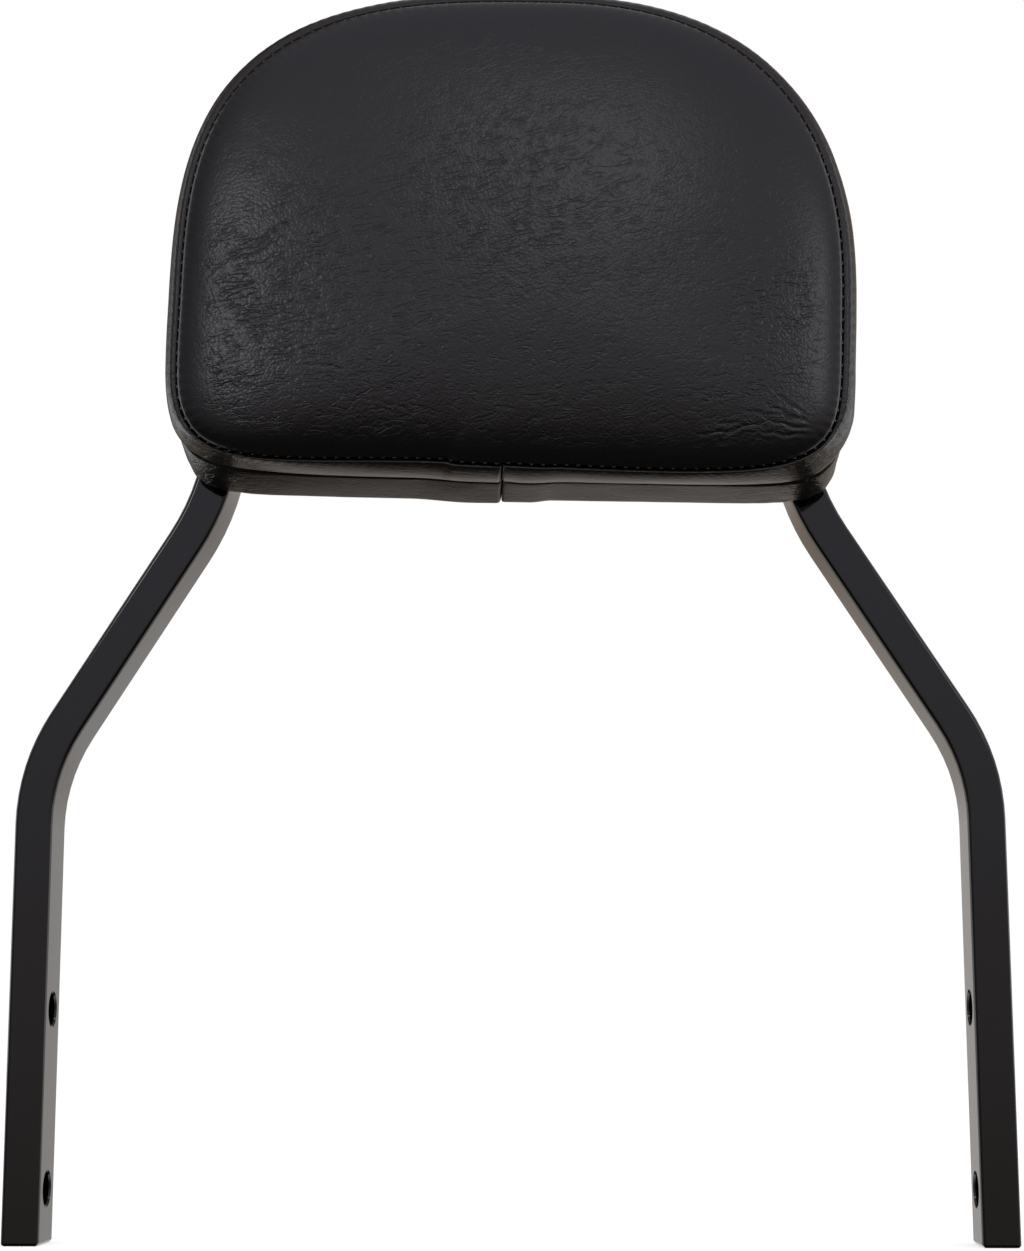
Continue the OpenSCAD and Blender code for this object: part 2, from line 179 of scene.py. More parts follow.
@dataclass
class Surface:
    """Grids of points, gathered into one mesh.

    Attributes:
        points: Blocks of points in millimetres.
        quads: Blocks of four-cornered faces.
        others: Faces with any other number of corners.
        weights: For each block of points, how strongly the finish creases there.
        count: Number of points so far.
    """

    points: list[Array] = field(default_factory=list)
    quads: list[Array] = field(default_factory=list)
    others: list[list[int]] = field(default_factory=list)
    weights: list[Array] = field(default_factory=list)
    count: int = 0

    def add_points(self, points: Array, weight: Array | float = 0.0) -> int:
        """Adds points and returns the index of the first one."""
        flat = points.reshape(-1, 3)
        self.points.append(flat)
        self.weights.append(np.broadcast_to(weight, points.shape[:-1]).reshape(-1).astype(float))
        first = self.count
        self.count += len(flat)
        return first

    def add_grid(
        self, grid: Array, wrap_cols: bool = False, flip: bool = False, weight: Array | float = 0.0
    ) -> Array:
        """Adds a grid of points, with a quad between each two rows and columns.

        Args:
            grid: Points as rows by columns by 3.
            wrap_cols: Whether the last column joins the first.
            flip: Whether the faces are turned round.
            weight: Creasing weight of each point.

        Returns:
            The indices of the points, rows by columns.
        """
        rows, cols = grid.shape[:2]
        index = self.add_points(grid, weight) + np.arange(rows * cols).reshape(rows, cols)
        full = np.hstack([index, index[:, :1]]) if wrap_cols else index
        quads = np.stack([full[:-1, :-1], full[1:, :-1], full[1:, 1:], full[:-1, 1:]], axis=-1).reshape(-1, 4)
        self.quads.append(quads[:, ::-1] if flip else quads)
        return index

    def add_fan(self, ring: Array, centre: Array, flip: bool = False, weight: float = 0.0) -> None:
        """Closes a ring of point indices with triangles to a new point at its centre."""
        middle = self.add_points(np.asarray(centre, dtype=float).reshape(1, 3), weight)
        following = np.roll(ring, -1)
        triangles = np.stack([ring, following, np.full_like(ring, middle)], axis=-1)
        self.others.extend((triangles[:, ::-1] if flip else triangles).tolist())

    def add_tube(self, grid: Array, flip: bool = False) -> None:
        """Adds a grid whose columns wrap, with one face over its first row and one over its last."""
        index = self.add_grid(grid, wrap_cols=True, flip=flip)
        for ring in (index[0], index[-1][::-1]):
            self.others.append((ring[::-1] if flip else ring).tolist())

    def flow(self) -> Array:
        """Gives the coordinates along and across the skin's fine folds, in metres.

        The folds run to the right and rise with it, more steeply high up, and level out at the pad's right.
        """
        x, y, z = np.vstack(self.points).T
        rise = 0.16 + 0.0028 * (z - 235.0)
        climb = rise * (x - 0.0021 * np.clip(x + 20.0, 0.0, None) ** 2)
        return np.stack([x, z - climb, y], axis=-1) * MM

    def build(self, name: str, material: bpy.types.Material, shading: Shading) -> bpy.types.Object:
        """Puts the points and faces into one object at the origin, in metres.

        Args:
            name: Name of the object and its mesh.
            material: Its finish.
            shading: Whether edges over 35 degrees stay sharp.

        Returns:
            The linked object.
        """
        mesh = bpy.data.meshes.new(name)
        faces = [face for block in self.quads for face in block.tolist()] + self.others
        mesh.from_pydata((np.vstack(self.points) * MM).tolist(), [], faces)
        mesh.polygons.foreach_set("use_smooth", np.ones(len(mesh.polygons), dtype=bool))
        creasing = mesh.attributes.new("creasing", "FLOAT", "POINT")
        creasing.data.foreach_set("value", np.concatenate(self.weights).astype(np.float32))
        flow = mesh.attributes.new("flow", "FLOAT_VECTOR", "POINT")
        flow.data.foreach_set("vector", self.flow().astype(np.float32).ravel())
        mesh.materials.append(material)
        mesh.update()
        if shading is Shading.CREASED:
            mesh.set_sharp_from_angle(angle=math.radians(35))
        piece = bpy.data.objects.new(name, mesh)
        bpy.context.scene.collection.objects.link(piece)
        return piece


def feed(tree: Tree, node: bpy.types.Node, inputs: dict[Any, Any]) -> None:
    """Gives a node's input sockets their values, or links them from another node's output socket."""
    for name, value in inputs.items():
        if isinstance(value, Socket):
            tree.links.new(value, node.inputs[name])
        else:
            node.inputs[name].default_value = value


def add_node(
    tree: Tree, kind: str, inputs: dict[Any, Any] | None = None, out: int | str = 0, **settings: Any
) -> Socket:
    """Adds a shader node with its settings, socket values and links.

    Args:
        tree: The node tree.
        kind: Blender's name of the node type, without its leading ShaderNode.
        inputs: For each input socket, by name or number, a value or an output socket to link from.
        out: Name or number of the wanted output socket.
        settings: Attributes of the node.

    Returns:
        The wanted output socket.
    """
    node = tree.nodes.new("ShaderNode" + kind)
    for name, value in settings.items():
        setattr(node, name, value)
    feed(tree, node, inputs or {})
    return node.outputs[out]


def per_mm(size: float) -> float:
    """Texture scale on Object coordinates in metres for a pattern with features of the given size in millimetres."""
    return 1.0 / (size * MM)


@dataclass(frozen=True)
class Finish:
    """A finish of one real material, as a Principled shader with procedural patterns.

    Attributes:
        name: The material's common name.
        colour: Main sRGB colour.
        second: The sRGB colour that the main one drifts to.
        roughness: Mean roughness.
        grain: Width in millimetres of the features of its relief.
        depth: Height of the relief in millimetres.
    """

    name: str
    colour: str
    second: str
    roughness: float
    grain: float
    depth: float

    def make(self) -> bpy.types.Material:
        """Makes the material: the plain shader first, then the patterns that the finish adds to it.

        Returns:
            The material.
        """
        material = bpy.data.materials.new(self.name)
        material.use_nodes = True
        tree = material.node_tree
        shader = tree.nodes["Principled BSDF"]
        feed(tree, shader, {"Base Color": srgb(self.colour), "Roughness": self.roughness})
        feed(tree, shader, self.patterns(tree, add_node(tree, "TexCoord", out="Object")))
        return material

    def patterns(self, tree: Tree, place: Socket) -> dict[str, Any]:
        """Adds the finish's patterns at the Object coordinates and returns the shader inputs that they feed."""
        raise NotImplementedError

    def drift(self, tree: Tree, share: Socket, less: float = 0.0, more: float = 0.0) -> dict[str, Any]:
        """Lets a pattern from 0 to 1 change the colour, and also the roughness where limits are given.

        Args:
            tree: The node tree.
            share: The pattern.
            less: How far the roughness falls where the pattern is 0.
            more: How far it rises where the pattern is 1.

        Returns:
            The shader inputs.
        """
        colours = {0: share, 6: srgb(self.colour), 7: srgb(self.second)}
        changed = {"Base Color": add_node(tree, "Mix", colours, 2, data_type="RGBA")}
        if more > 0.0:
            limits = {"Value": share, "To Min": self.roughness - less, "To Max": self.roughness + more}
            changed["Roughness"] = add_node(tree, "MapRange", limits)
        return changed


class GlossPaint(Finish):
    """Gloss black stoving enamel, sprayed on steel: mirror-like, with a faint orange peel and tiny dust nibs."""

    DUST = 2.6
    NIB_DEPTH = 0.06
    HAZE = 38.0

    def patterns(self, tree: Tree, place: Socket) -> dict[str, Any]:
        """Draws a wide shallow ripple from spraying, and sparse specks of dust under the gloss."""
        peel = add_node(tree, "TexNoise", {"Vector": place, "Scale": per_mm(self.grain), "Detail": 1.0})
        dust = add_node(tree, "TexVoronoi", {"Vector": place, "Scale": per_mm(self.DUST)})
        edge = {"From Min": 0.03, "From Max": 0.07, "To Min": 1.0, "To Max": 0.0}
        speck = add_node(tree, "MapRange", {"Value": dust, **edge})
        ripple = add_node(tree, "Bump", {"Height": peel, "Strength": 0.02, "Distance": self.depth * MM})
        nib = {"Height": speck, "Strength": 0.25, "Distance": self.NIB_DEPTH * MM, "Normal": ripple}
        haze = add_node(tree, "TexNoise", {"Vector": place, "Scale": per_mm(self.HAZE), "Detail": 3.0})
        spread = 0.4 * self.roughness
        return {**self.drift(tree, haze, spread, spread), "Normal": add_node(tree, "Bump", nib)}


@dataclass(frozen=True)
class GrainVinyl(Finish):
    """Leather-look vinyl, calendered on a knit: pebbled grain, fine folds where it is stretched, a soft sheen.

    Attributes:
        fold: Width of the fine folds across their run.
        fold_depth: Height of the fine folds in millimetres.
    """

    fold: float = 1.7
    fold_depth: float = 0.15

    CREASE_DEPTH = 0.14
    PORE = 0.55
    PORE_DEPTH = 0.05
    PATCH = 5.0
    WARP = 2.6
    WARP_REACH = 1.3
    DRIFT = 45.0
    RUNS = ((2.1, 1.0, 1.0, None), (3.4, 2.2, 1.5, 0.038), (2.6, 1.4, 1.5, 0.05))

    def patterns(self, tree: Tree, place: Socket) -> dict[str, Any]:
        """Draws folds, crease lines, pebbles and pores, stronger where the mesh says that it creases.

        Each row of RUNS is a noise drawn out along the folds: its stretch, its size in folds, its detail and,
        for crease lines, how far from the noise's mean of 0.5 a line ends.
        """
        creasing = add_node(tree, "Attribute", out="Fac", attribute_name="creasing")
        flow = add_node(tree, "Attribute", out="Vector", attribute_name="flow")
        runs = []
        for stretch, folds, detail, width in self.RUNS:
            drawn = add_node(tree, "Mapping", {"Vector": flow, "Scale": (1.0 / stretch, 1.0, 1.0)})
            noise = {"Vector": drawn, "Scale": per_mm(self.fold * folds), "Detail": detail}
            run = add_node(tree, "TexNoise", {**noise, "Roughness": 0.5, "Distortion": 0.35})
            if width is not None:
                off = add_node(tree, "Math", {0: run, 1: 0.5}, operation="SUBTRACT")
                near = add_node(tree, "Math", {0: off}, operation="ABSOLUTE")
                line = {"Value": near, "From Max": width, "To Min": 1.0, "To Max": 0.0}
                run = add_node(tree, "MapRange", line, interpolation_type="SMOOTHSTEP")
            runs.append(run)
        lines = add_node(tree, "Math", {0: runs[1], 1: runs[2]}, operation="MAXIMUM")
        patches = add_node(tree, "TexNoise", {"Vector": place, "Scale": per_mm(self.PATCH), "Detail": 1.0})
        patchy = {"Value": patches, "From Min": 0.36, "From Max": 0.6}
        mask = add_node(tree, "MapRange", patchy, interpolation_type="SMOOTHSTEP")
        creases = add_node(tree, "Math", {0: lines, 1: mask}, operation="MULTIPLY")
        warp = add_node(tree, "TexNoise", {"Vector": place, "Scale": per_mm(self.WARP), "Detail": 2.0}, "Color")
        reach = (self.WARP_REACH * MM,) * 3
        shift = add_node(tree, "VectorMath", {0: warp, 1: reach, 2: place}, operation="MULTIPLY_ADD")
        cells = {"Vector": shift, "Scale": per_mm(self.grain), "Smoothness": 0.25}
        pebbles = add_node(tree, "TexVoronoi", cells, feature="SMOOTH_F1")
        pores = add_node(tree, "TexNoise", {"Vector": place, "Scale": per_mm(self.PORE), "Detail": 2.0})
        below: dict[str, Any] = {}
        for height, depth, least, most in (
            (runs[0], self.fold_depth, 0.05, 0.55),
            (creases, -self.CREASE_DEPTH, 0.1, 1.0),
            (pebbles, -self.depth, 0.07, 0.5),
            (pores, self.PORE_DEPTH, 0.35, 0.35),
        ):
            strength = add_node(tree, "MapRange", {"Value": creasing, "To Min": least, "To Max": most})
            layer = {"Height": height, "Strength": strength, "Distance": abs(depth) * MM, **below}
            below = {"Normal": add_node(tree, "Bump", layer, invert=depth < 0)}
        tone = add_node(tree, "TexNoise", {"Vector": place, "Scale": per_mm(self.DRIFT), "Detail": 3.0})
        changed = self.drift(tree, tone, 0.04, 0.04)
        worn = {0: creasing, 1: -0.03, 2: changed["Roughness"]}
        return {**changed, **below, "Roughness": add_node(tree, "Math", worn, operation="MULTIPLY_ADD")}


class TwistedThread(Finish):
    """Black bonded nylon thread: fine plies twisted together, with a dull wax gleam."""

    def patterns(self, tree: Tree, place: Socket) -> dict[str, Any]:
        """Draws a fine slanted ripple for the plies."""
        wave = {"Vector": place, "Scale": per_mm(self.grain), "Distortion": 1.5, "Detail": 1.0}
        plies = add_node(tree, "TexWave", wave, "Fac", bands_direction="DIAGONAL")
        bump = add_node(tree, "Bump", {"Height": plies, "Strength": 0.6, "Distance": self.depth * MM})
        return {**self.drift(tree, plies), "Normal": bump}


class ZincPlate(Finish):
    """Bright zinc plating on cold-formed steel: a pale metal with a cloudy, faintly brushed surface."""

    CLOUD = 3.0

    def patterns(self, tree: Tree, place: Socket) -> dict[str, Any]:
        """Draws a cloudy roughness and fine drawing lines along Y."""
        clouds = add_node(tree, "TexNoise", {"Vector": place, "Scale": per_mm(self.CLOUD), "Detail": 4.0})
        drawn = add_node(tree, "Mapping", {"Vector": place, "Scale": (1.0, 0.1, 1.0)})
        lines = add_node(tree, "TexNoise", {"Vector": drawn, "Scale": per_mm(self.grain), "Detail": 2.0})
        bump = add_node(tree, "Bump", {"Height": lines, "Strength": 0.3, "Distance": self.depth * MM})
        return {**self.drift(tree, clouds, 0.08, 0.12), "Normal": bump, "Metallic": 1.0}


class MouldedSheet(Finish):
    """Extruded black plastic sheet with a fine haircell grain, dull and even."""

    SCUFF = 20.0

    def patterns(self, tree: Tree, place: Socket) -> dict[str, Any]:
        """Draws a tight irregular grain under a low sheen."""
        grain = add_node(tree, "TexVoronoi", {"Vector": place, "Scale": per_mm(self.grain), "Randomness": 1.0})
        scuffs = add_node(tree, "TexNoise", {"Vector": place, "Scale": per_mm(self.SCUFF), "Detail": 4.0})
        bump = add_node(tree, "Bump", {"Height": grain, "Strength": 0.7, "Distance": self.depth * MM})
        return {**self.drift(tree, scuffs, 0.08, 0.1), "Normal": bump}


class OpenCellFoam(Finish):
    """Polyether foam cut from a block: a matt yellowish cell structure with small round pores."""

    def patterns(self, tree: Tree, place: Socket) -> dict[str, Any]:
        """Draws the pores as dimples, with painted shade that darkens them inside."""
        cells = add_node(tree, "TexVoronoi", {"Vector": place, "Scale": per_mm(self.grain)})
        bump = add_node(tree, "Bump", {"Height": cells, "Strength": 0.8, "Distance": self.depth * MM})
        # The same cells darken the colour at each pore's centre: painted shade in the dimples.
        return {**self.drift(tree, cells), "Normal": bump}


class StainedPlywood(Finish):
    """Birch plywood stained dark: fine grain along X, with thin plies showing on its edge."""

    def patterns(self, tree: Tree, place: Socket) -> dict[str, Any]:
        """Draws the grain out along X."""
        drawn = add_node(tree, "Mapping", {"Vector": place, "Scale": (0.06, 1.0, 1.0)})
        noise = {"Vector": drawn, "Scale": per_mm(self.grain), "Detail": 5.0, "Roughness": 0.6}
        grain = add_node(tree, "TexNoise", noise)
        bump = add_node(tree, "Bump", {"Height": grain, "Strength": 0.5, "Distance": self.depth * MM})
        return {**self.drift(tree, grain), "Normal": bump}


class Finishes:
    """All finishes of the sissy bar, made once."""

    def __init__(self) -> None:
        """Makes each material."""
        self.hoop_paint = GlossPaint("gloss_black_enamel", "#070708", "#0e0e10", 0.05, 4.0, 0.4).make()
        self.panel_vinyl = GrainVinyl("panel_grain_vinyl", "#131316", "#121211", 0.28, 0.95, 0.25).make()
        self.band_vinyl = GrainVinyl("band_grain_vinyl", "#151516", "#121211", 0.33, 1.0, 0.1, 2.0, 0.25).make()
        self.thread = TwistedThread("bonded_nylon_thread", "#4c4c4f", "#39393b", 0.25, 1.4, 0.06).make()
        self.zinc = ZincPlate("bright_zinc_plate", "#cfcfca", "#b9b7a8", 0.32, 0.35, 0.02).make()
        self.back_sheet = MouldedSheet("haircell_plastic_sheet", "#1a1a1b", "#252527", 0.5, 0.9, 0.08).make()
        self.foam = OpenCellFoam("open_cell_foam", "#a8955c", "#d8c98f", 0.95, 1.2, 0.4).make()
        self.wood = StainedPlywood("stained_birch_plywood", "#3a3028", "#5a4b3b", 0.7, 1.5, 0.15).make()


@dataclass(frozen=True)
class Station:
    """The pad's outline at one depth.

    Attributes:
        y: Depth.
        inset: How far the outline is drawn in from the widest one.
        low_left: Squareness of its lower left corner, where 2 is an ellipse.
        low_right: Squareness of its lower right corner.
    """

    y: float
    inset: float
    low_left: float
    low_right: float

    def toward(self, other: "Station", share: Array) -> tuple[Array, Array, Array, Array]:
        """Blends this station's four values with another's by the given share."""
        pairs = (
            (self.y, other.y),
            (self.inset, other.inset),
            (self.low_left, other.low_left),
            (self.low_right, other.low_right),
        )
        blended = [a + (b - a) * share for a, b in pairs]
        return blended[0], blended[1], blended[2], blended[3]


@dataclass(frozen=True)
class PadOutline:
    """The pad seen from the front: four quarters of superellipses about one centre, turned by a small tilt.

    The pad in the photograph is a little fuller at its top right, and these sizes give that.
    """

    centre_x: float = 10.5
    centre_z: float = 247.9
    tilt_deg: float = -1.9
    left: float = 115.9
    right: float = 100.6
    top: float = 101.4
    bottom: float = 60.0
    top_left_power: float = 2.92
    top_right_power: float = 2.43
    join_x: float = 0.2

    front_seam = Station(-51.3, 4.7, 6.2, 6.0)
    rear_seam = Station(-34.3, 3.4, 7.6, 8.8)
    back_edge = Station(-14.33, 2.1, 11.0, 10.5)

    def place(self, angle: Array, inset: Array, low_left: Array, low_right: Array, share: Array = 1.0) -> Array:
        """Finds points of the outline, by the superellipse formula for each quarter.

        The radius is ((|cos a| / half width) ** p + (|sin a| / height) ** p) ** (-1 / p).

        Args:
            angle: Directions from the centre in radians.
            inset: How far the outline is drawn in.
            low_left: Squareness of the lower left quarter.
            low_right: Squareness of the lower right quarter.
            share: Scale about the centre.

        Returns:
            Points as x and z, stacked in the last axis.
        """
        cosine, sine = np.cos(angle), np.sin(angle)
        rightward, upward = cosine >= 0, sine >= 0
        half = np.where(rightward, self.right, self.left) - inset
        height = np.where(upward, self.top, self.bottom) - inset
        upper = np.where(rightward, self.top_right_power, self.top_left_power)
        lower = np.where(rightward, low_right, low_left)
        power = np.where(upward, upper, lower)
        across, up = np.abs(cosine) / half, np.abs(sine) / height
        radius = share * (across**power + up**power) ** (-1.0 / power)
        tilt = math.radians(self.tilt_deg)
        u, v = radius * cosine, radius * sine
        x = self.centre_x + u * math.cos(tilt) - v * math.sin(tilt)
        z = self.centre_z + u * math.sin(tilt) + v * math.cos(tilt)
        return np.stack(np.broadcast_arrays(x, z), axis=-1)

    def around(self, station: Station, angle: Array, inset: Array | None = None, share: Array = 1.0) -> Array:
        """Finds points with a station's corners, drawn in by its own inset or by the given one."""
        drawn = station.inset if inset is None else inset
        return self.place(angle, drawn, station.low_left, station.low_right, share)

    def walk(self) -> tuple[Array, Array]:
        """Measures the way round the outline, from the join at the bottom and round by the right.

        Returns:
            Distances in millimetres and the directions of the outline there.
        """
        seam = self.rear_seam
        near = np.linspace(math.radians(-125), math.radians(-60), 4000)
        x = self.around(seam, near)[:, 0]
        start = float(np.interp(self.join_x, x, near))
        angle = start + np.linspace(0.0, 2.0 * math.pi, 8001)
        points = self.around(seam, angle)
        steps = np.linalg.norm(np.diff(points, axis=0), axis=1)
        return np.concatenate([[0.0], np.cumsum(steps)]), angle


class Pad:
    """The upholstered pad: a crowned panel, two border bands, foam, board, back sheet, thread and staples."""

    PANEL_ROWS = 185
    PANEL_COLUMNS = 860
    PANEL_FRONT = -61.4
    EDGE_SHARE = 0.62
    FRONT_PUFF = 3.9
    UNDER_PUFF = 1.9
    UNDER_LEAN = 0.4
    LOW_ROUNDING = (1.65, 1.3)
    JOIN_SLANT = 0.04
    REAR_PUFF = 0.45
    REAR_UNDER_PUFF = 0.1
    SEAM_FACE_DEG = 139.0
    LIP_R = 0.75
    BAND_LIP_R = 1.5
    REAR_LIP_R = 1.05
    TAIL = 2.4
    SEAM_GAP = 0.3
    SEAM_SPREAD = 0.3
    REAR_GAP = 0.7
    CORNER_R = 1.7
    HEM = 17.0
    HEM_SHOWN = 11.5
    SKIN = 1.1
    BOARD_FRONT = -27.7
    BOARD_BACK = -15.72
    BARREL_HOLE_R = 5.2
    STITCH = 3.72
    PLEAT = 6.3
    END_R = 1.1
    END_STEP = 0.09
    CORNER_REACH = 17.0
    NUTS = ((-38.0, 227.0), (-38.0, 281.0), (38.0, 227.0), (38.0, 281.0))

    def __init__(self, finishes: Finishes) -> None:
        """Prepares the outline and its length.

        Args:
            finishes: The materials.
        """
        self.finishes = finishes
        self.outline = PadOutline()
        self.way, self.directions = self.outline.walk()
        self.length = float(self.way[-1])

    def direction(self, walked: Array, y: Array | float | None = None) -> Array:
        """Gives the outline's direction at distances walked from the join.

        Args:
            walked: Distances from the join.
            y: Depths, where the bands' slanted join matters.

        Returns:
            Directions in radians.
        """
        if y is not None:
            walked = walked - self.JOIN_SLANT * (y - self.outline.front_seam.y) * bell(self.from_join(walked), 60.0)
        turns = np.floor(walked / self.length)
        return np.interp(walked - turns * self.length, self.way, self.directions) + 2.0 * math.pi * turns

    def underside(self, angle: Array) -> Array:
        """Tells the pad's underside, 1, from its sides and top, 0, with a blend round the lower corners."""
        seam = self.outline.rear_seam
        z = self.outline.around(seam, angle)[..., 1]
        return smoothstep(self.outline.centre_z - z, 36.0, 55.0)

    def from_join(self, walked: Array) -> Array:
        """Gives the signed distance from the join: positive to the right, negative to the left."""
        return np.where(walked > self.length / 2, walked - self.length, walked)

    def seam_pull(self, walked: Array) -> Array:
        """How far the front seam stands out: a little beside the join, where the band is stiff, and less below."""
        d = self.from_join(walked)
        left = smoothstep(d, -19.0, -14.5) * (d < 0)
        right = (1.0 - smoothstep(d, 12.0, 19.0)) * (d >= 0)
        seam = self.outline.front_seam
        x = self.outline.around(seam, self.direction(walked))[..., 0]
        rise = 1.6 * bell(x + 28.0, 36.0) + 0.3 * bell(x - 12.0, 25.0) - 1.0 * bell(x + 90.0, 18.0)
        return 0.7 * left + 0.35 * right - rise * self.underside(self.direction(walked))

    def rear_pull(self, walked: Array) -> Array:
        """How far the rear seam stands out: beside the join and at the lower corners, and less below."""
        d = self.from_join(walked)
        angle = self.direction(walked)
        seam = self.outline.rear_seam
        flat = self.outline.around(seam, angle)
        join = 0.8 * smoothstep(d, -27.0, -9.0) * (d < 0) + 0.8 * bell(d - 8.0, 8.0) * (d >= 0)
        return join + 0.9 * self.folds_at_corners(flat[..., 0], flat[..., 1]) - 1.6 * self.underside(angle)

    def folds_at_corners(self, x: Array, z: Array) -> Array:
        """How near points are to the pad's two lower corners: 1 at a corner and 0 well away."""
        left = bell(np.hypot(x + 98.0, z - 199.0), self.CORNER_REACH)
        right = bell(np.hypot(x - 102.0, z - 196.0), self.CORNER_REACH)
        return np.clip(left + right, 0.0, 1.0)

    def crown(self, share: Array) -> Array:
        """Height of the panel's crown, from 1 at its centre to 0 at its seam.

        It is edge * (1 - s ** 5) ** 0.55 for the steep edge plus (1 - edge) * (1 - s ** 2) for the dome.
        """
        steep = np.clip(1.0 - share**5, 0.0, 1.0) ** 0.55
        return self.EDGE_SHARE * steep + (1.0 - self.EDGE_SHARE) * (1.0 - share**2)

    def panel_creasing(self, x: Array, z: Array) -> Array:
        """How strongly the panel's skin creases: in patches at its left, its right, its middle and below."""
        patches = (
            (-72.0, 246.0, 46.0, 0.7),
            (-84.0, 222.0, 24.0, 0.6),
            (90.0, 236.0, 22.0, 0.75),
            (0.0, 276.0, 44.0, 0.55),
            (-40.0, 222.0, 40.0, 0.55),
            (76.0, 210.0, 24.0, 0.6),
            (20.0, 212.0, 44.0, 0.4),
            (40.0, 250.0, 50.0, 0.3),
        )
        total = np.zeros_like(x)
        for patch_x, patch_z, radius, strength in patches:
            total = np.maximum(total, strength * bell(np.hypot(x - patch_x, z - patch_z), radius))
        return total

    def panel_relief(self, x: Array, z: Array) -> Array:
        """Height of the panel's soft waves, in millimetres outwards."""
        flat = np.zeros_like(x)
        waves = 0.06 * LatticeNoise((36.0, 9.0, 17.0), 3).at(x + 0.45 * z, flat, z - 0.3 * x)
        return waves + 0.018 * LatticeNoise((15.0, 9.0, 7.0), 4).at(x - 0.5 * z, flat, z + 0.35 * x)

    def strokes(self, x: Array, z: Array) -> Array:
        """Depth of the few long creases that stand out on the panel, each a bent stroke that fades at its ends.

        Each row holds a start, an end, the sag of the stroke's middle and its depth, in millimetres.
        """
        drawn = (
            (-93.0, 253.0, -63.0, 271.0, 1.2, 0.14),
            (-89.0, 245.0, -62.0, 247.0, -0.8, 0.1),
            (-86.0, 239.0, -66.0, 240.5, -1.4, 0.15),
            (-82.0, 234.5, -72.0, 231.0, 0.5, 0.13),
            (-78.0, 228.0, -62.0, 230.5, -0.6, 0.09),
            (-91.0, 222.0, -76.0, 219.5, 0.4, 0.13),
            (-60.0, 223.5, -48.0, 221.5, 0.5, 0.15),
            (-42.0, 212.5, -24.0, 207.0, 0.8, 0.05),
            (101.0, 203.0, 81.0, 210.0, 0.8, 0.17),
            (100.5, 202.5, 80.0, 206.0, 1.2, 0.18),
            (97.0, 205.0, 85.0, 213.0, 0.5, 0.1),
            (99.0, 201.5, 79.0, 201.5, 0.9, 0.15),
            (94.0, 204.0, 74.0, 207.5, -0.6, 0.11),
            (82.0, 205.0, 60.0, 200.5, 1.0, 0.11),
            (78.0, 203.0, 66.0, 203.5, -0.6, 0.09),
        )
        total = np.zeros_like(x)
        for start_x, start_z, end_x, end_z, sag, depth in drawn:
            along_x, along_z = end_x - start_x, end_z - start_z
            size = math.hypot(along_x, along_z)
            along = ((x - start_x) * along_x + (z - start_z) * along_z) / size**2
            off = ((z - start_z) * along_x - (x - start_x) * along_z) / size
            inside = np.clip(along, 0.0, 1.0)
            middle = 4.0 * inside * (1.0 - inside)
            wobble = 0.35 * np.sin(along * 17.0 + 5.0 * sag) * middle
            distance = off - sag * middle - wobble
            total = total + depth * middle**0.6 * (bell(distance, 0.5) - 0.45 * bell(np.abs(distance) - 1.0, 0.7))
        return total

    def build_panel(self) -> bpy.types.Object:
        """Builds the front panel as a closed skin: a crowned front, a lip turned into the seam and a back.

        The front's depth is lip depth - height * crown(share), for shares 0 at the centre to 1 at the lip.

        Returns:
            The panel.
        """
        seam = self.outline.front_seam
        walked = np.linspace(0.0, self.length, self.PANEL_COLUMNS, endpoint=False)
        angle = self.direction(walked)[None, :]
        pull = self.seam_pull(walked)
        out, back = bend(72.0, self.SEAM_FACE_DEG, self.LIP_R, 7)
        lip_inset = seam.inset + self.SEAM_SPREAD + out[-1] - pull
        lip_y = seam.y - self.SEAM_GAP - back[-1]
        height = lip_y - self.PANEL_FRONT
        step = np.linspace(0.0, 1.0, self.PANEL_ROWS + 1)[1:]
        share = (1.0 - (1.0 - step) ** 1.35)[:, None]
        flat = self.outline.around(seam, angle, lip_inset, share)
        x, z = flat[..., 0], flat[..., 1]
        creasing = self.panel_creasing(x, z) * smoothstep(1.0 - share, 0.03, 0.15)
        ease = smoothstep(1.0 - share, 0.0, 0.09)
        gathers = 0.07 * np.cos(2.0 * math.pi * walked / self.STITCH)[None, :] * bell((1.0 - share) * 95.0, 2.6)
        relief = (self.panel_relief(x, z) - self.strokes(x, z)) * ease + gathers * (share < 1.0)
        rows = [in_space(flat, lip_y - height * self.crown(share) - relief)]
        face = math.radians(self.SEAM_FACE_DEG)
        tail = np.array([0.5, 1.0]) * self.TAIL
        out_all = np.concatenate([out, out[-1] + tail * math.cos(face)])
        back_all = np.concatenate([back, back[-1] + tail * math.sin(face)])
        edge = self.outline.around(seam, angle, lip_inset - out_all[:, None])
        rows.append(in_space(edge, (lip_y + back_all)[:, None]))
        inner_share = np.linspace(1.0, 0.01, 24)[:, None]
        inner = self.outline.around(seam, angle, lip_inset + 3.2, inner_share)
        rows.append(in_space(inner, lip_y + 1.7 - (height - 0.6) * self.crown(inner_share)))
        grid = np.concatenate(rows, axis=0)
        spare = np.zeros((grid.shape[0] - creasing.shape[0], grid.shape[1]))
        surface = Surface()
        index = surface.add_grid(grid, wrap_cols=True, weight=np.concatenate([creasing, spare], axis=0))
        surface.add_fan(index[0], grid[0].mean(axis=0), weight=float(creasing[0].mean()))
        surface.add_fan(index[-1], grid[-1].mean(axis=0), flip=True)
        return surface.build("pad_front_panel", self.finishes.panel_vinyl, Shading.SMOOTH)

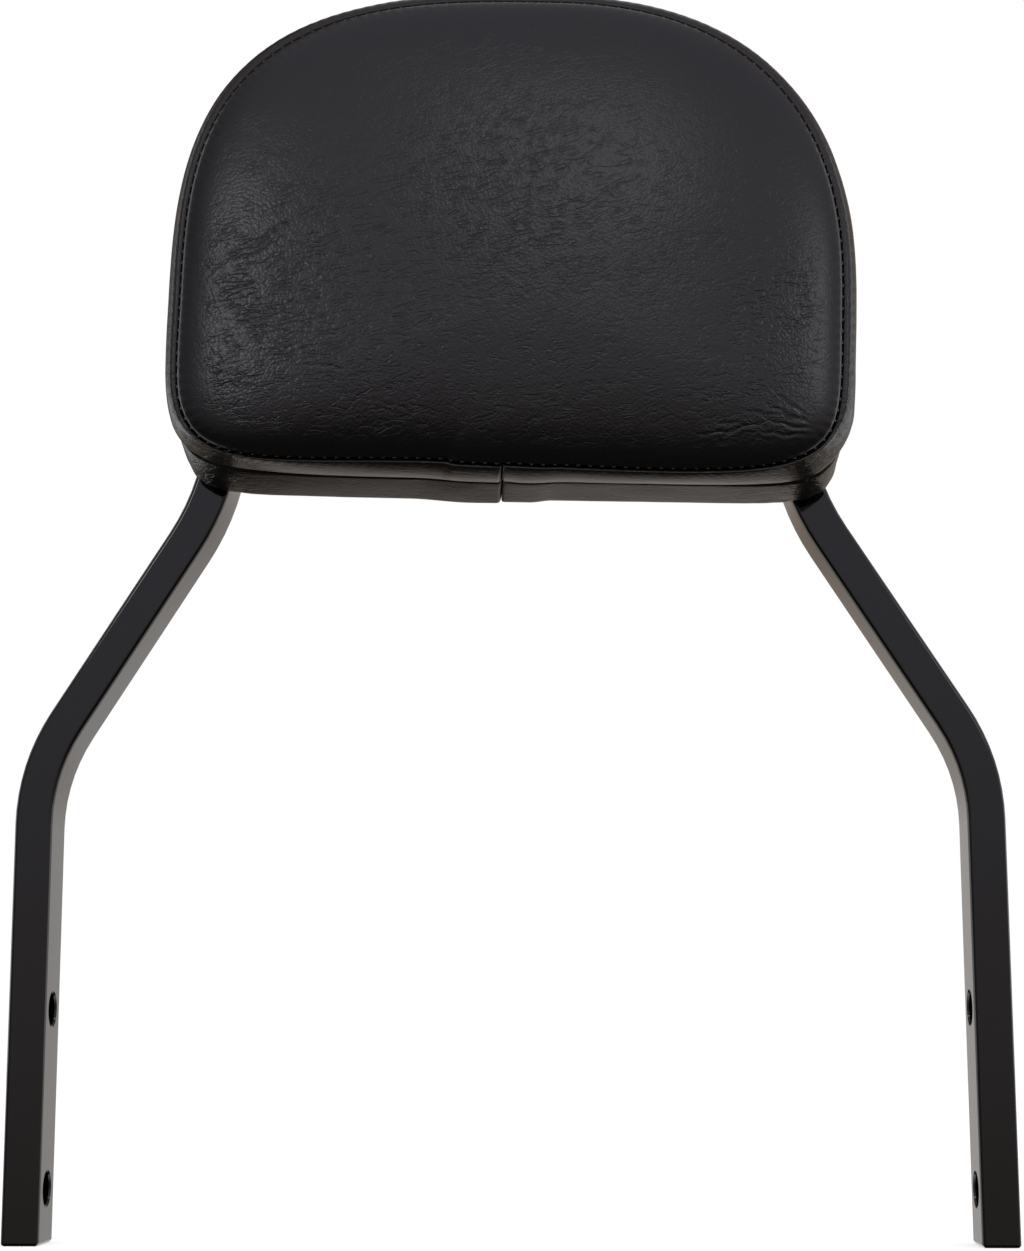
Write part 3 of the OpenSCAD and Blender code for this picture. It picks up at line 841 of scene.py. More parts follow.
    def band_ways(self) -> Array:
        """Distances of a band's stations round the outline: an even pitch, and close steps at the rolled ends."""
        close = np.array([self.END_STEP, 0.16, 0.28, 0.48, 0.7, 0.98, 1.3, 1.8, 2.5, 3.4])
        even = np.linspace(4.4, self.length - 4.4, 660)
        return np.concatenate([close, even, self.length - close[::-1]])[:, None]

    def roll_at_ends(self, walked: Array) -> Array:
        """How far a band's ends dive in at the join, as a quarter circle."""
        radius = self.END_R
        left = np.clip(radius - (np.minimum(walked, self.length - walked) - self.END_STEP), 0.0, radius)
        return radius - np.sqrt(np.clip(radius**2 - left**2, 0.0, None))

    def band_relief(self, x: Array, y: Array, z: Array) -> Array:
        """Height of a band's soft waves and of its folds at the lower corners, in millimetres outwards."""
        corner = self.folds_at_corners(x, z)
        slow = LatticeNoise((16.0, 12.0, 16.0), 11).at(x, y, z)
        tight = LatticeNoise((5.0, 11.0, 5.0), 12).at(x, y, z)
        ridges = LatticeNoise((7.0, 14.0, 7.0), 13).creases(x, y, z, 2.2)
        return 0.12 * slow + 0.03 * tight + corner * (0.06 * tight - 0.1 * ridges)

    def join_swell(self, walked: Array) -> Array:
        """How far the back edge stands out beside the join, where the bands' ends are doubled over."""
        d = self.from_join(walked)
        angle = self.direction(walked)
        join = 1.2 * smoothstep(d, -30.0, -8.0) * (d < 0) + 0.8 * (1.0 - smoothstep(d, 9.0, 16.0)) * (d >= 0)
        end = self.outline.back_edge
        flat = self.outline.around(end, angle)
        tuck = 0.9 * bell(np.hypot(flat[..., 0] + 104.0, flat[..., 1] - 210.0), 13.0)
        return join - tuck - 0.5 * np.cos(angle) * self.underside(angle)

    def build_front_band(self) -> bpy.types.Object:
        """Builds the swelling band between the seams.

        Its inset is a straight blend between the seams less puff * (4 t (1 - t)) ** 0.5, and its edges turn in.
        Here t is the share s of the way, but s ** (1 + lean) at the underside, where the band hangs back.

        Returns:
            The band.
        """
        walked = self.band_ways()
        angle = self.direction(walked)
        start, end = self.outline.front_seam, self.outline.rear_seam
        out, back = bend(self.SEAM_FACE_DEG - 180.0, 0.0, self.BAND_LIP_R, 5)
        share = (0.5 - 0.5 * np.cos(np.linspace(0.0, math.pi, 29)))[None, 1:]
        y, inset, low_left, low_right = start.toward(end, share)
        y = y + (back[-1] + self.SEAM_GAP) * (1.0 - share) - self.REAR_GAP * share
        inset = inset - (out[-1] + self.SEAM_SPREAD) * (1.0 - share)
        lean = share ** (1.0 + self.UNDER_LEAN * self.underside(angle))
        swell = np.sqrt(np.clip(4.0 * lean * (1.0 - lean), 0.0, 1.0))
        puff = self.FRONT_PUFF + (self.UNDER_PUFF - self.FRONT_PUFF) * self.underside(angle)
        pull = self.seam_pull(walked) * (1.0 - share) + self.rear_pull(walked) * share
        inset = inset - puff * swell - pull
        low_left = low_left - self.LOW_ROUNDING[0] * swell
        low_right = low_right - self.LOW_ROUNDING[1] * swell
        flat = self.outline.place(angle, inset, low_left, low_right)
        side_y = y + 0.0 * walked
        gathers = 0.08 * np.cos(2.0 * math.pi * walked / self.STITCH) * bell(side_y - start.y - 1.2, 1.5)
        relief = self.band_relief(flat[..., 0], side_y, flat[..., 1]) * swell
        corner = self.folds_at_corners(flat[..., 0], flat[..., 1])
        inset = inset - relief - gathers
        face = math.radians(self.SEAM_FACE_DEG)
        tail_out = np.array([math.cos(face), 0.5 * math.cos(face), 0.0]) * self.TAIL
        tail_back = np.array([math.sin(face), 0.5 * math.sin(face), 0.0]) * self.TAIL
        first_out = np.concatenate([tail_out, out])[None, :]
        first_y = start.y + self.SEAM_GAP + np.concatenate([tail_back, back])[None, :] + 0.0 * walked
        first_inset = start.inset - self.SEAM_SPREAD - first_out - self.seam_pull(walked)
        last_inset = inset[:, -1:] + np.array([[0.4, 0.75, 1.0]]) * self.TAIL
        last_y = end.y - self.REAR_GAP * np.array([[0.85, 0.3, 0.02]]) + 0.0 * walked
        return self.finish_band(
            "pad_front_band",
            walked,
            [
                (first_inset, first_y, start.low_left, start.low_right),
                (inset, side_y, low_left, low_right),
                (last_inset, last_y, end.low_left, end.low_right),
            ],
            corner,
        )

    def build_rear_band(self) -> bpy.types.Object:
        """Builds the band from the rear seam to the back edge, and its hem over the back of the board.

        The side follows the same formula as the front band, then a quarter circle turns it to the back plane.

        Returns:
            The band.
        """
        walked = self.band_ways()
        angle = self.direction(walked)
        start, end = self.outline.rear_seam, self.outline.back_edge
        out, back = bend(0.0, 86.0, self.REAR_LIP_R, 7)
        share = (np.linspace(0.0, 1.0, 23) ** 1.15)[None, 1:]
        side_end = Station(end.y - self.CORNER_R, end.inset, end.low_left, end.low_right)
        y, inset, low_left, low_right = start.toward(side_end, share)
        y = y + (back[-1] + self.REAR_GAP) * (1.0 - share)
        inset = inset - out[-1] * (1.0 - share)
        swell = np.clip(4.0 * share * (1.0 - share), 0.0, 1.0) ** 0.6
        flat = self.outline.place(angle, inset, low_left, low_right)
        side_y = y + 0.0 * walked
        corner = self.folds_at_corners(flat[..., 0], flat[..., 1])
        ease = smoothstep(share, 0.0, 0.25)
        relief = self.band_relief(flat[..., 0], side_y, flat[..., 1]) * ease
        pleats = 0.08 * np.cos(2.0 * math.pi * walked / self.PLEAT) * corner * smoothstep(share, 0.15, 0.9)
        push = relief + pleats + self.join_swell(walked) * share + self.rear_pull(walked) * (1.0 - share)
        puff = self.REAR_PUFF + (self.REAR_UNDER_PUFF - self.REAR_PUFF) * self.underside(angle)
        inset = inset - puff * swell - push
        closing = self.REAR_GAP * np.array([-0.98, -0.7, -0.15, 0.0])
        first_out = np.concatenate([[-self.TAIL, -0.75 * self.TAIL, -0.4 * self.TAIL, 0.0], out])[None, :]
        first_y = start.y + self.REAR_GAP + np.concatenate([closing, back])[None, :] + 0.0 * walked
        first_inset = start.inset - first_out - self.rear_pull(walked)
        last = inset[:, -1:]
        turn_out, turn_back = bend(90.0, 180.0, self.CORNER_R, 6)
        turn_inset = last - turn_out[None, :]
        turn_y = side_end.y + turn_back[None, :] + 0.0 * walked
        flat_way = np.array([0.8, 1.8, 3.0, 4.4, 6.0, 7.6, 9.0, 10.2, 11.0, 12.0, 13.5, self.HEM])[None, :]
        settle = 1.0 - smoothstep(flat_way, 0.0, 9.0)
        ideal = end.inset + self.CORNER_R + flat_way
        hem_inset = ideal + (turn_inset[:, -1:] - end.inset - self.CORNER_R) * settle
        under = 0.62 * smoothstep(flat_way, self.HEM_SHOWN - 3.0, self.HEM_SHOWN - 0.6)
        hem_y = end.y - 0.04 - under + 0.0 * walked
        rest_inset = np.concatenate([turn_inset, hem_inset], axis=1)
        rest_y = np.concatenate([turn_y, hem_y], axis=1)
        return self.finish_band(
            "pad_rear_band",
            walked,
            [
                (first_inset, first_y, start.low_left, start.low_right),
                (inset, side_y, low_left, low_right),
                (rest_inset, rest_y, end.low_left, end.low_right),
            ],
            corner,
        )

    def finish_band(
        self,
        name: str,
        walked: Array,
        parts: list[tuple[Array, Array, Array | float, Array | float]],
        corner: Array,
    ) -> bpy.types.Object:
        """Joins a band's tail, side and end into one strip, rolls in its ends at the join and builds its mesh.

        Args:
            name: Name of the piece.
            walked: Distances of its stations from the join.
            parts: Insets, depths and the squareness of both lower corners, for each part across the band.
            corner: Creasing weights of the middle part.

        Returns:
            The band.
        """
        roll = self.roll_at_ends(walked)
        blocks, weights = [], []
        for number, (inset, y, low_left, low_right) in enumerate(parts):
            flat = self.outline.place(self.direction(walked, y), inset + roll, low_left, low_right)
            blocks.append(in_space(flat, y))
            edge = corner[:, :1] if number == 0 else corner[:, -1:]
            weights.append(corner if number == 1 else np.repeat(edge, inset.shape[1], axis=1))
        grid = np.concatenate(blocks, axis=1)
        weight = 0.15 + 0.85 * np.concatenate(weights, axis=1)
        centre = np.array([self.outline.centre_x, 0.0, self.outline.centre_z])
        inward = (centre - grid) * np.array([1.0, 0.0, 1.0])
        inward = inward / np.linalg.norm(inward, axis=-1, keepdims=True)
        grid = np.concatenate([grid[:1] + 2.0 * inward[:1], grid, grid[-1:] + 2.0 * inward[-1:]], axis=0)
        weight = np.concatenate([weight[:1], weight, weight[-1:]], axis=0)
        surface = Surface()
        surface.add_grid(grid, flip=True, weight=weight)
        return surface.build(name, self.finishes.band_vinyl, Shading.SMOOTH)

    def build_back_sheet(self) -> bpy.types.Object:
        """Builds the sheet that covers the board's back and laps over the hem, with a rounded edge.

        Returns:
            The sheet.
        """
        end = self.outline.back_edge
        walked = np.linspace(0.0, self.length, 360, endpoint=False)
        angle = self.direction(walked)[None, :]
        thick, round_r = 0.55, 0.25
        turn = np.linspace(0.0, math.pi / 2.0, 5)[:, None]
        edge_inset = self.HEM_SHOWN + end.inset + self.CORNER_R
        front_in = np.linspace(30.0, 1.0, 6)[:, None]
        rounding = edge_inset + round_r * (1.0 - np.sin(turn))
        inset = np.concatenate([edge_inset + front_in, rounding, edge_inset + 0.0 * turn[:1]])
        depth = np.concatenate([0.0 * front_in, -round_r * (1.0 - np.cos(turn)), np.full((1, 1), -thick)])
        flat = self.outline.around(end, angle, inset)
        rim = in_space(flat, end.y + depth)
        share = np.linspace(0.0, 1.0, 14)[1:-1][:, None, None]
        centre = np.array([self.outline.centre_x, end.y, self.outline.centre_z])
        field_rows = centre + (rim[:1] - centre) * share
        under = centre - np.array([0.0, thick, 0.0]) + (rim[-1:] - centre) * share[::-1]
        under[..., 1] = end.y - thick
        grid = np.concatenate([field_rows, rim, under], axis=0)
        surface = Surface()
        index = surface.add_grid(grid, wrap_cols=True, flip=True)
        surface.add_fan(index[0], centre, flip=True)
        surface.add_fan(index[-1], centre - np.array([0.0, thick, 0.0]))
        return surface.build("pad_back_sheet", self.finishes.back_sheet, Shading.CREASED)

    def build_foam(self) -> bpy.types.Object:
        """Builds the foam under the covering: the same crown and outline, with pockets over the nuts.

        Returns:
            The foam.
        """
        seam, end = self.outline.front_seam, self.outline.back_edge
        walked = np.linspace(0.0, self.length, 360, endpoint=False)
        angle = self.direction(walked)[None, :]
        share = np.linspace(0.02, 1.0, 40)[:, None]
        inset = seam.inset + 4.4
        front = self.outline.around(seam, angle, inset, share)
        front_y = seam.y + 1.6 - (seam.y - self.PANEL_FRONT - 0.2) * self.crown(share)
        drop = np.linspace(0.0, 1.0, 9)[1:, None]
        side_station = Station(self.BOARD_FRONT, end.inset + 2.6, end.low_left, end.low_right)
        y, side_inset, low_left, low_right = Station(seam.y + 1.6, inset, seam.low_left, seam.low_right).toward(
            side_station, drop
        )
        side = self.outline.place(angle, side_inset + 2.0 * np.sin(math.pi * drop), low_left, low_right)
        back_share = np.linspace(1.0, 0.01, 70)[:, None]
        back = self.outline.around(end, angle, side_station.inset, back_share)
        pocket = np.zeros_like(back[..., 0])
        for nut_x, nut_z in self.NUTS:
            reach = np.hypot(back[..., 0] - nut_x, back[..., 1] - nut_z)
            pocket = np.maximum(pocket, smoothstep(-reach, -11.0, -9.6))
        rows = [
            in_space(front, front_y),
            in_space(side, y),
            in_space(back, self.BOARD_FRONT - 0.05 - 4.0 * pocket),
        ]
        grid = np.concatenate(rows, axis=0)
        surface = Surface()
        index = surface.add_grid(grid, wrap_cols=True)
        surface.add_fan(index[0], grid[0].mean(axis=0))
        surface.add_fan(index[-1], grid[-1].mean(axis=0), flip=True)
        return surface.build("pad_foam", self.finishes.foam, Shading.SMOOTH)

    def build_board(self) -> bpy.types.Object:
        """Builds the plywood board: a plate in the pad's outline, with a clear hole for each nut's barrel.

        Returns:
            The board.
        """
        end = self.outline.back_edge
        walked = np.linspace(0.0, self.length, 260, endpoint=False)
        rim = self.outline.around(end, self.direction(walked), end.inset + self.SKIN + 1.4)
        turn = np.linspace(0.0, 2.0 * math.pi, 32, endpoint=False)
        ring = self.BARREL_HOLE_R * np.stack([np.cos(turn), np.sin(turn)], axis=-1)
        loops = [rim] + [ring + np.array(nut) for nut in self.NUTS]
        curve = bpy.data.curves.new("board_outline", "CURVE")
        curve.dimensions = "2D"
        curve.fill_mode = "BOTH"
        edge = 0.8
        curve.extrude = ((self.BOARD_BACK - self.BOARD_FRONT) / 2.0 - edge) * MM
        curve.bevel_depth = edge * MM
        curve.bevel_resolution = 2
        for loop in loops:
            spline = curve.splines.new("POLY")
            spline.points.add(len(loop) - 1)
            shrunk = np.concatenate([loop * MM, np.zeros((len(loop), 1)), np.ones((len(loop), 1))], axis=1)
            spline.points.foreach_set("co", shrunk.ravel())
            spline.use_cyclic_u = True
        shape = bpy.data.objects.new("board_outline", curve)
        mesh = bpy.data.meshes.new_from_object(shape)
        middle = Vector((0.0, (self.BOARD_BACK + self.BOARD_FRONT) / 2.0 * MM, 0.0))
        mesh.transform(Matrix.Translation(middle) @ Matrix.Rotation(math.radians(90.0), 4, "X"))
        bpy.data.objects.remove(shape)
        bpy.data.curves.remove(curve)
        mesh.name = "pad_board"
        mesh.materials.clear()
        mesh.materials.append(self.finishes.wood)
        piece = bpy.data.objects.new("pad_board", mesh)
        bpy.context.scene.collection.objects.link(piece)
        return piece

    def build_thread(
        self, name: str, station: Station, out: float, back: float, radius: float
    ) -> bpy.types.Object:
        """Builds the stitches of a seam: short threads along the outline whose ends dive into their holes.

        Args:
            name: Name of the piece.
            station: The seam.
            out: How far the thread lies outside the seam's outline.
            back: How far it lies behind the seam.
            radius: Radius of the thread.

        Returns:
            All stitches as one piece.
        """
        count = int(round(self.length / self.STITCH))
        pitch = self.length / count
        first = (np.arange(count) * pitch)[:, None]
        along = np.linspace(-0.5, 0.5, 9)[None, :]
        walked = np.mod(first + pitch * (0.5 + 0.84 * along), self.length)
        dive = np.minimum(2.2 * 4.0 * along**2, 1.4)
        pull = self.seam_pull(walked) if station is self.outline.front_seam else self.rear_pull(walked)
        inset = station.inset - out + dive - pull
        angle = self.direction(walked)
        middle = self.outline.around(station, angle, inset)
        outer = self.outline.around(station, angle, inset - 1.0)
        outward = outer - middle
        outward = outward / np.linalg.norm(outward, axis=-1, keepdims=True)
        around = np.linspace(0.0, 2.0 * math.pi, 6, endpoint=False)[None, None, :]
        thick = radius * np.sqrt(np.clip(1.0 - (2.0 * along) ** 6, 0.06, 1.0))[..., None]
        slant = 0.12 * np.sin(along * math.pi)[..., None]
        x = middle[..., 0, None] + outward[..., 0, None] * thick * np.cos(around)
        z = middle[..., 1, None] + outward[..., 1, None] * thick * np.cos(around)
        y = station.y + back + slant + thick * np.sin(around) + 0.0 * first[..., None]
        surface = Surface()
        for stitch in np.stack([x, y, z], axis=-1):
            surface.add_tube(stitch, flip=True)
        return surface.build(name, self.finishes.thread, Shading.SMOOTH)

    def build_staples(self) -> bpy.types.Object:
        """Builds the staples that hold the hem: flat wire crowns along the outline, their legs in the board.

        Returns:
            All staples as one piece.
        """
        end = self.outline.back_edge
        wire_w, wire_t, crown, leg = 1.2, 0.55, 9.5, 3.0
        pitch = 15.5
        count = int(self.length / pitch)
        centres = (np.arange(count) + 0.5) * self.length / count
        rng = np.random.default_rng(21)
        inset = end.inset + self.CORNER_R + self.HEM_SHOWN + 2.6 + rng.uniform(-0.5, 0.5, count)
        angle = self.direction(centres)
        middle = self.outline.around(end, angle, inset)
        ahead = self.outline.around(end, angle + 0.01, inset)
        along = ahead - middle
        along = along / np.linalg.norm(along, axis=-1, keepdims=True)
        turn = rng.uniform(-0.12, 0.12, count)
        turned_x = along[:, 0] * np.cos(turn) - along[:, 1] * np.sin(turn)
        turned_z = along[:, 0] * np.sin(turn) + along[:, 1] * np.cos(turn)
        along = np.stack([turned_x, turned_z], axis=-1)
        curl = np.linspace(0.0, math.pi / 2.0, 4)
        corner = 0.8
        half = crown / 2.0
        run = np.concatenate([[-half], -half + corner * (1.0 - np.cos(curl)), [0.0]])
        drop = np.concatenate([[leg], corner * (1.0 - np.sin(curl)), [0.0]])
        run = np.concatenate([run, -run[-2::-1]])
        drop = np.concatenate([drop, drop[-2::-1]])
        slope = np.stack([np.gradient(run), np.gradient(drop)], axis=-1)
        slope = slope / np.linalg.norm(slope, axis=-1, keepdims=True)
        corners = ((-1, -1), (1, -1), (1, 1), (-1, 1))
        surface = Surface()
        for place, way in zip(middle, along):
            if abs(place[0]) < 101.0 and (207.0 < place[1] < 247.0 or 261.0 < place[1] < 301.0):
                continue
            across = np.array([-way[1], way[0]])
            ring = []
            for side, lift in corners:
                along_run = run + lift * wire_t / 2.0 * slope[:, 1]
                depth = end.y + 0.05 - drop + lift * wire_t / 2.0 * np.abs(slope[:, 0])
                x = place[0] + way[0] * along_run + across[0] * side * wire_w / 2.0
                z = place[1] + way[1] * along_run + across[1] * side * wire_w / 2.0
                ring.append(np.stack([x, depth, z], axis=-1))
            surface.add_tube(np.stack(ring, axis=1))
        return surface.build("hem_staples", self.finishes.zinc, Shading.CREASED)

    def thicken(self, piece: bpy.types.Object, thickness: float) -> None:
        """Gives a skin its thickness inwards."""
        solid = piece.modifiers.new("skin", "SOLIDIFY")
        solid.thickness = thickness * MM
        solid.offset = -1.0
        solid.use_even_offset = False

    def dress(self) -> None:
        """Builds every piece of the pad and ties it to the frame."""
        panel, front_band, rear_band = self.build_panel(), self.build_front_band(), self.build_rear_band()
        for band in (front_band, rear_band):
            self.thicken(band, self.SKIN)
        front_seam, rear_seam = self.outline.front_seam, self.outline.rear_seam
        for piece, slot, node, fill in (
            (panel, Slot.PANEL_VINYL, "front_panel", 0.9),
            (front_band, Slot.BAND_VINYL, "front_border_band", 0.8),
            (rear_band, Slot.BAND_VINYL, "rear_border_band", 0.7),
            (self.build_foam(), Slot.FOAM, "foam_core", 0.9),
            (self.build_board(), Slot.BOARD_WOOD, "base_board", None),
            (self.build_back_sheet(), Slot.BACK_SHEET, "back_cover", None),
            (self.build_thread("front_seam_thread", front_seam, 0.12, -0.8, 0.3), Slot.BAND_VINYL, None, None),
            (self.build_thread("rear_seam_thread", rear_seam, -1.2, 0.0, 0.26), Slot.BAND_VINYL, None, None),
            (self.build_staples(), Slot.ZINC_STEEL, None, None),
        ):
            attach(piece, BODY)
            if node is not None:
                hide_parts(node)
            LOG.info("built %s", piece.name)


@dataclass
class WeldBeads:
    """The four short fillet welds of each strap, where it crosses the hoop's uprights."""

    finishes: Finishes
    bar_face_y: float = -10.0
    strap_half_h: float = 14.0
    start_x: float = 88.55
    end_x: float = 93.0
    radius: float = 2.3
    ripple: float = 1.1

    def bead(self, side: int, edge: int, level: float) -> Array:
        """Works out one bead: a quarter circle in the corner, swelling and shrinking along the strap's edge.

        Args:
            side: -1 for the left upright, 1 for the right one.
            edge: -1 for the strap's lower edge, 1 for its upper one.
            level: Height of the strap's centre.

        Returns:
            Points as stations by profile by 3.
        """
        along = np.linspace(-1.0, 1.0, 41)[:, None]
        taper = np.sqrt(np.clip(1.0 - np.abs(along) ** 5, 0.02, 1.0))
        x = (self.start_x + self.end_x) / 2.0 + along * (self.end_x - self.start_x) / 2.0
        scallop = 1.0 - 0.1 * np.abs(np.sin(math.pi * x / self.ripple))
        radius = self.radius * taper * scallop
        turn = np.linspace(0.0, math.pi / 2.0, 9)[None, :]
        y = self.bar_face_y - radius * np.cos(turn)
        z = self.strap_half_h + radius * np.sin(turn)
        corner_y, corner_z = np.full_like(x, self.bar_face_y), np.full_like(x, self.strap_half_h)
        y = np.concatenate([y, corner_y], axis=1)
        z = np.concatenate([z, corner_z], axis=1)
        return np.stack(np.broadcast_arrays(side * x, y, level + edge * z), axis=-1)

    def dress(self) -> None:
        """Builds the beads of both straps in place of their nodes."""
        for name, node in (("lower_weld_beads", "lower_strap_welds"), ("upper_weld_beads", "upper_strap_welds")):
            low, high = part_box(node)
            level = (low[2] + high[2]) / 2.0 / MM
            surface = Surface()
            for side in (-1, 1):
                for edge in (-1, 1):
                    surface.add_tube(self.bead(side, edge, level), flip=side * edge < 0)
            piece = surface.build(name, self.finishes.hoop_paint, Shading.SMOOTH)
            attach(piece, BODY)
            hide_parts(node)
            LOG.info("built %s", piece.name)


class CadFinishes:
    """Gives the carried-over solids their finishes."""

    def __init__(self, finishes: Finishes) -> None:
        """Lists which solids take which finish.

        Args:
            finishes: The materials.
        """
        self.by_node = {
            "hoop_bar": finishes.hoop_paint,
            "lower_strap": finishes.hoop_paint,
            "upper_strap": finishes.hoop_paint,
            "base_board": finishes.wood,
            "back_cover": finishes.back_sheet,
            "foam_core": finishes.foam,
        }
        self.fasteners = finishes.zinc

    def dress(self) -> None:
        """Puts each finish into the material slots of its solid."""
        for name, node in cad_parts.items():
            material = self.by_node.get(name, self.fasteners)
            for slot in node.material_slots:
                slot.material = material
            LOG.info("finished %s with %s", name, material.name)


@dataclass
class Studio:
    """Camera, lamps, floor and surroundings of the photograph."""

    camera_at: tuple[float, float, float] = (29.7, -763.0, 16.6)
    yaw: float = -0.0370
    pitch: float = 0.1752
    roll: float = -0.0013
    lens: float = 68.17
    sensor: float = 36.0
    floor_level: float = -45.05
    floor_size: float = 6000.0
    floor_glow: float = 0.62

    AIM = (0.0, 0.0, 200.0)
    LAMPS = (
        ("left_soft_box", (-620.0, -1150.0, 640.0), (200.0, 240.0), 0.78),
        ("left_strip", (-1400.0, 60.0, 620.0), (350.0, 1300.0), 2.7),
        ("right_strip", (1400.0, 60.0, 620.0), (350.0, 1300.0), 2.4),
        ("middle_soft_box", (60.0, -1250.0, 860.0), (240.0, 180.0), 0.42),
        ("right_soft_box", (760.0, -1050.0, 560.0), (220.0, 260.0), 0.52),
    )
    RAMPS = (
        ("rise", "Z", -0.42, 0.3, 0.04, 0.7),
        ("flag", "X", -0.75, -0.3, 0.42, 1.0),
        ("left_end", "X", -0.31, -0.12, 0.12, 0.95),
        ("right_end", "X", 0.21, 0.33, 1.0, 0.5),
        ("below", "Z", -0.61, -0.44, 0.08, 1.0),
        ("low", "Z", -0.38, -0.12, 0.6, 0.79),
        ("left_window", "X", -0.66, -0.44, 1.3, 0.0),
        ("right_window", "X", 0.5, 0.72, 0.0, 1.3),
        ("window_foot", "Z", 0.18, 0.27, 1.0, 0.3),
        ("behind", "Y", -0.3, 0.3, 0.0, 1.0),
        ("height", "Z", -0.15, 0.2, 0.0, 1.0),
    )
    JOINS = (
        ("front", "MULTIPLY", "rise", "flag"),
        ("sides", "MULTIPLY", "left_end", "right_end"),
        ("under", "MULTIPLY", "low", "below"),
        ("boards", "MULTIPLY", "sides", "under"),
        ("windows", "MAXIMUM", "left_window", "right_window"),
        ("low_windows", "MULTIPLY", "windows", "window_foot"),
        ("back", "MAXIMUM", "boards", "low_windows"),
    )

    def place_camera(self) -> None:
        """Sets the camera where the photograph was taken from, looking along its measured direction."""
        cos_p, sin_p = math.cos(self.pitch), math.sin(self.pitch)
        forward = Vector((math.sin(self.yaw) * cos_p, math.cos(self.yaw) * cos_p, sin_p))
        right = Vector((math.cos(self.yaw), -math.sin(self.yaw), 0.0))
        up = right.cross(forward)
        turned_right = right * math.cos(self.roll) + up * math.sin(self.roll)
        turned_up = up * math.cos(self.roll) - right * math.sin(self.roll)
        data = bpy.data.cameras.new("photo_camera")
        data.lens = self.lens
        data.sensor_width = self.sensor
        data.sensor_fit = "AUTO"
        data.clip_start, data.clip_end = 0.01, 50.0
        camera = bpy.data.objects.new("photo_camera", data)
        camera.matrix_world = Matrix.Translation(Vector(self.camera_at) * MM) @ Matrix(
            (turned_right, turned_up, -forward)
        ).transposed().to_4x4()
        bpy.context.scene.collection.objects.link(camera)
        bpy.context.scene.camera = camera

    def hang_lamps(self) -> None:
        """Hangs the soft boxes, each facing the pad, by the table LAMPS: name, place, size and power in watts."""
        for name, at, size, power in self.LAMPS:
            data = bpy.data.lights.new(name, "AREA")
            data.shape = "RECTANGLE"
            data.size, data.size_y = size[0] * MM, size[1] * MM
            data.energy = power
            lamp = bpy.data.objects.new(name, data)
            lamp.location = Vector(at) * MM
            aim = Vector(self.AIM) * MM - lamp.location
            lamp.rotation_mode = "QUATERNION"
            lamp.rotation_quaternion = aim.to_track_quat("-Z", "Y")
            bpy.context.scene.collection.objects.link(lamp)

    def by_ray(self, tree: Tree, seen: Socket, mirrored: Socket) -> Socket:
        """Gives the camera's own rays one shader and all other rays, such as reflections, another."""
        ray = add_node(tree, "LightPath", out="Is Camera Ray")
        return add_node(tree, "MixShader", {0: ray, 1: mirrored, 2: seen})

    def surround(self) -> None:
        """Makes the light tent: dim in front, and raw boards, pale paper and two low windows behind.

        Each row of RAMPS is a smooth ramp along an axis of the view: its name, the axis, where it starts and
        ends, and its values there. Each row of JOINS works two parts into a third.
        """
        world = bpy.data.worlds.new("light_tent")
        bpy.context.scene.world = world
        world.use_nodes = True
        tree = world.node_tree
        tree.nodes.clear()
        way = add_node(tree, "TexCoord", out="Generated")
        axes = add_node(tree, "SeparateXYZ", {"Vector": way}).node.outputs
        part = {}
        for name, axis, start, end, first, last in self.RAMPS:
            ends = {"From Min": start, "From Max": end, "To Min": first, "To Max": last}
            part[name] = add_node(tree, "MapRange", {"Value": axes[axis], **ends}, interpolation_type="SMOOTHSTEP")
        for name, operation, one, other in self.JOINS:
            part[name] = add_node(tree, "Math", {0: part[one], 1: part[other]}, operation=operation)
        paleness = add_node(tree, "MapRange", {"Value": part["back"], "From Max": 0.85})
        warm = {0: paleness, 6: srgb("#ffd8b4"), 7: srgb("#ffffff")}
        cool = {0: part["height"], 6: srgb("#fff1e4"), 7: srgb("#f4f0ff")}
        ends = [add_node(tree, "Mix", colours, 2, data_type="RGBA") for colours in (cool, warm)]
        tint = add_node(tree, "Mix", {0: part["behind"], 6: ends[0], 7: ends[1]}, 2, data_type="RGBA")
        levels = {0: part["behind"], 2: part["front"], 3: part["back"]}
        level = add_node(tree, "Mix", levels, data_type="FLOAT")
        tent = add_node(tree, "Background", {"Color": tint, "Strength": level})
        white = add_node(tree, "Background", {"Color": srgb("#ffffff"), "Strength": 1.0})
        feed(tree, tree.nodes.new("ShaderNodeOutputWorld"), {"Surface": self.by_ray(tree, white, tent)})

    def lay_floor(self) -> None:
        """Lays white paper that keeps the object's shadow; reflections see the shaded tent below it instead."""
        half = self.floor_size / 2.0
        surface = Surface()
        corners = np.array([[[-half, -half], [half, -half]], [[-half, half], [half, half]]])
        level = np.full((2, 2, 1), self.floor_level)
        surface.add_grid(np.concatenate([corners, level], axis=-1), flip=True)
        material = bpy.data.materials.new("white_paper_floor")
        material.use_nodes = True
        tree = material.node_tree
        shader = tree.nodes["Principled BSDF"]
        feed(tree, shader, {"Base Color": srgb("#f4f4f4"), "Roughness": 0.9})
        glow = add_node(tree, "Emission", {"Strength": self.floor_glow})
        paper = add_node(tree, "AddShader", {0: shader.outputs[0], 1: glow})
        seen = self.by_ray(tree, paper, add_node(tree, "BsdfTransparent"))
        feed(tree, tree.nodes["Material Output"], {"Surface": seen})
        surface.build("floor", material, Shading.SMOOTH)

    def set_up(self) -> None:
        """Puts up the whole studio."""
        self.place_camera()
        self.surround()
        self.lay_floor()
        self.hang_lamps()
        bpy.context.scene.view_settings.view_transform = "Standard"


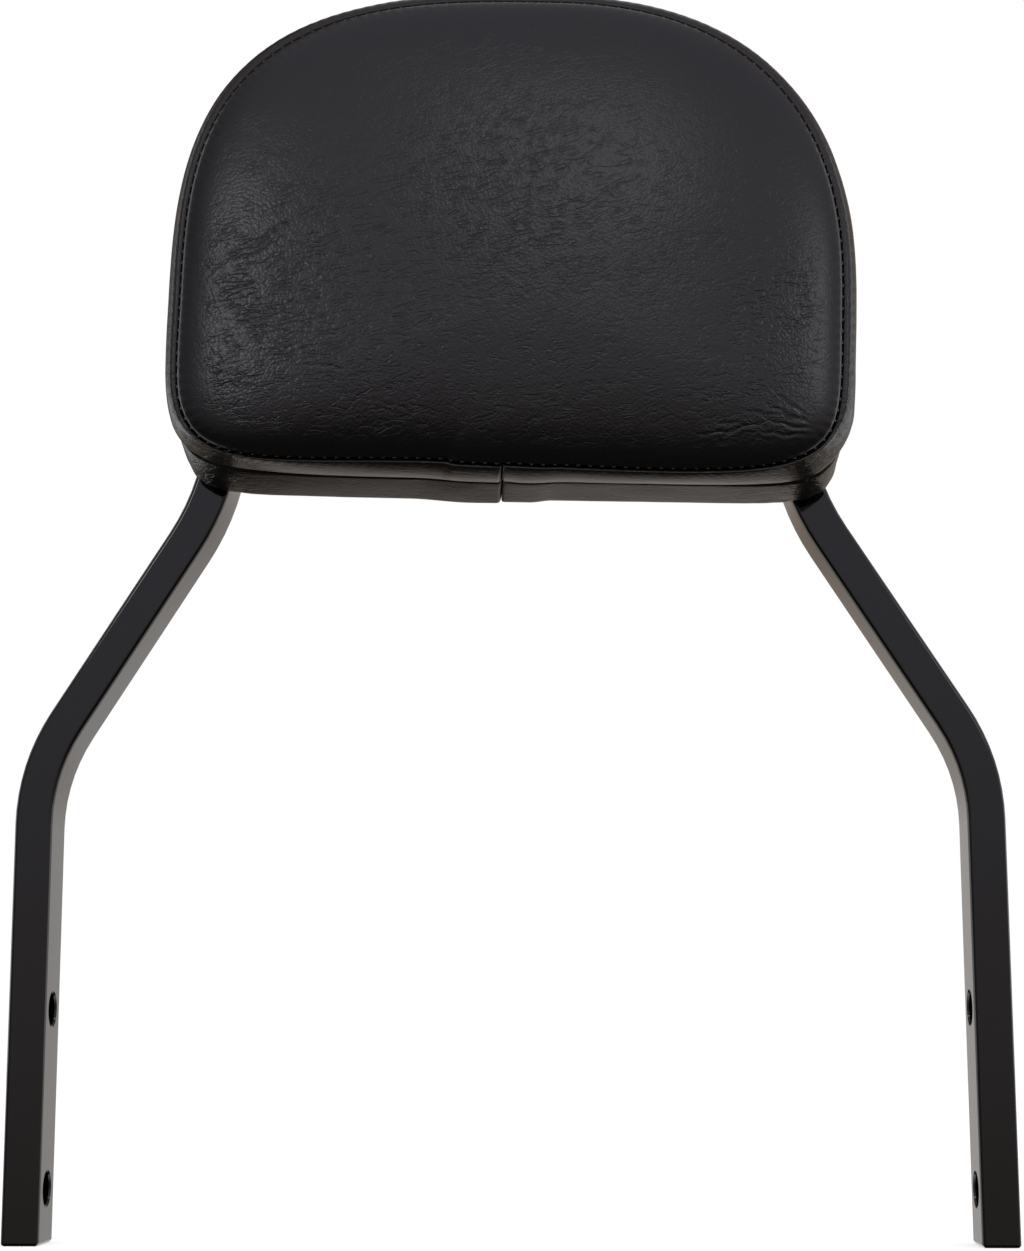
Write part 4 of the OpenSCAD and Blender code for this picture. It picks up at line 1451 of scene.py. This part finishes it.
def main() -> None:
    """Builds the scene in order."""
    logging.basicConfig(level=logging.INFO, format="%(message)s")
    Studio().set_up()
    finishes = Finishes()
    CadFinishes(finishes).dress()
    Pad(finishes).dress()
    WeldBeads(finishes).dress()


if __name__ == "__main__":
    main()
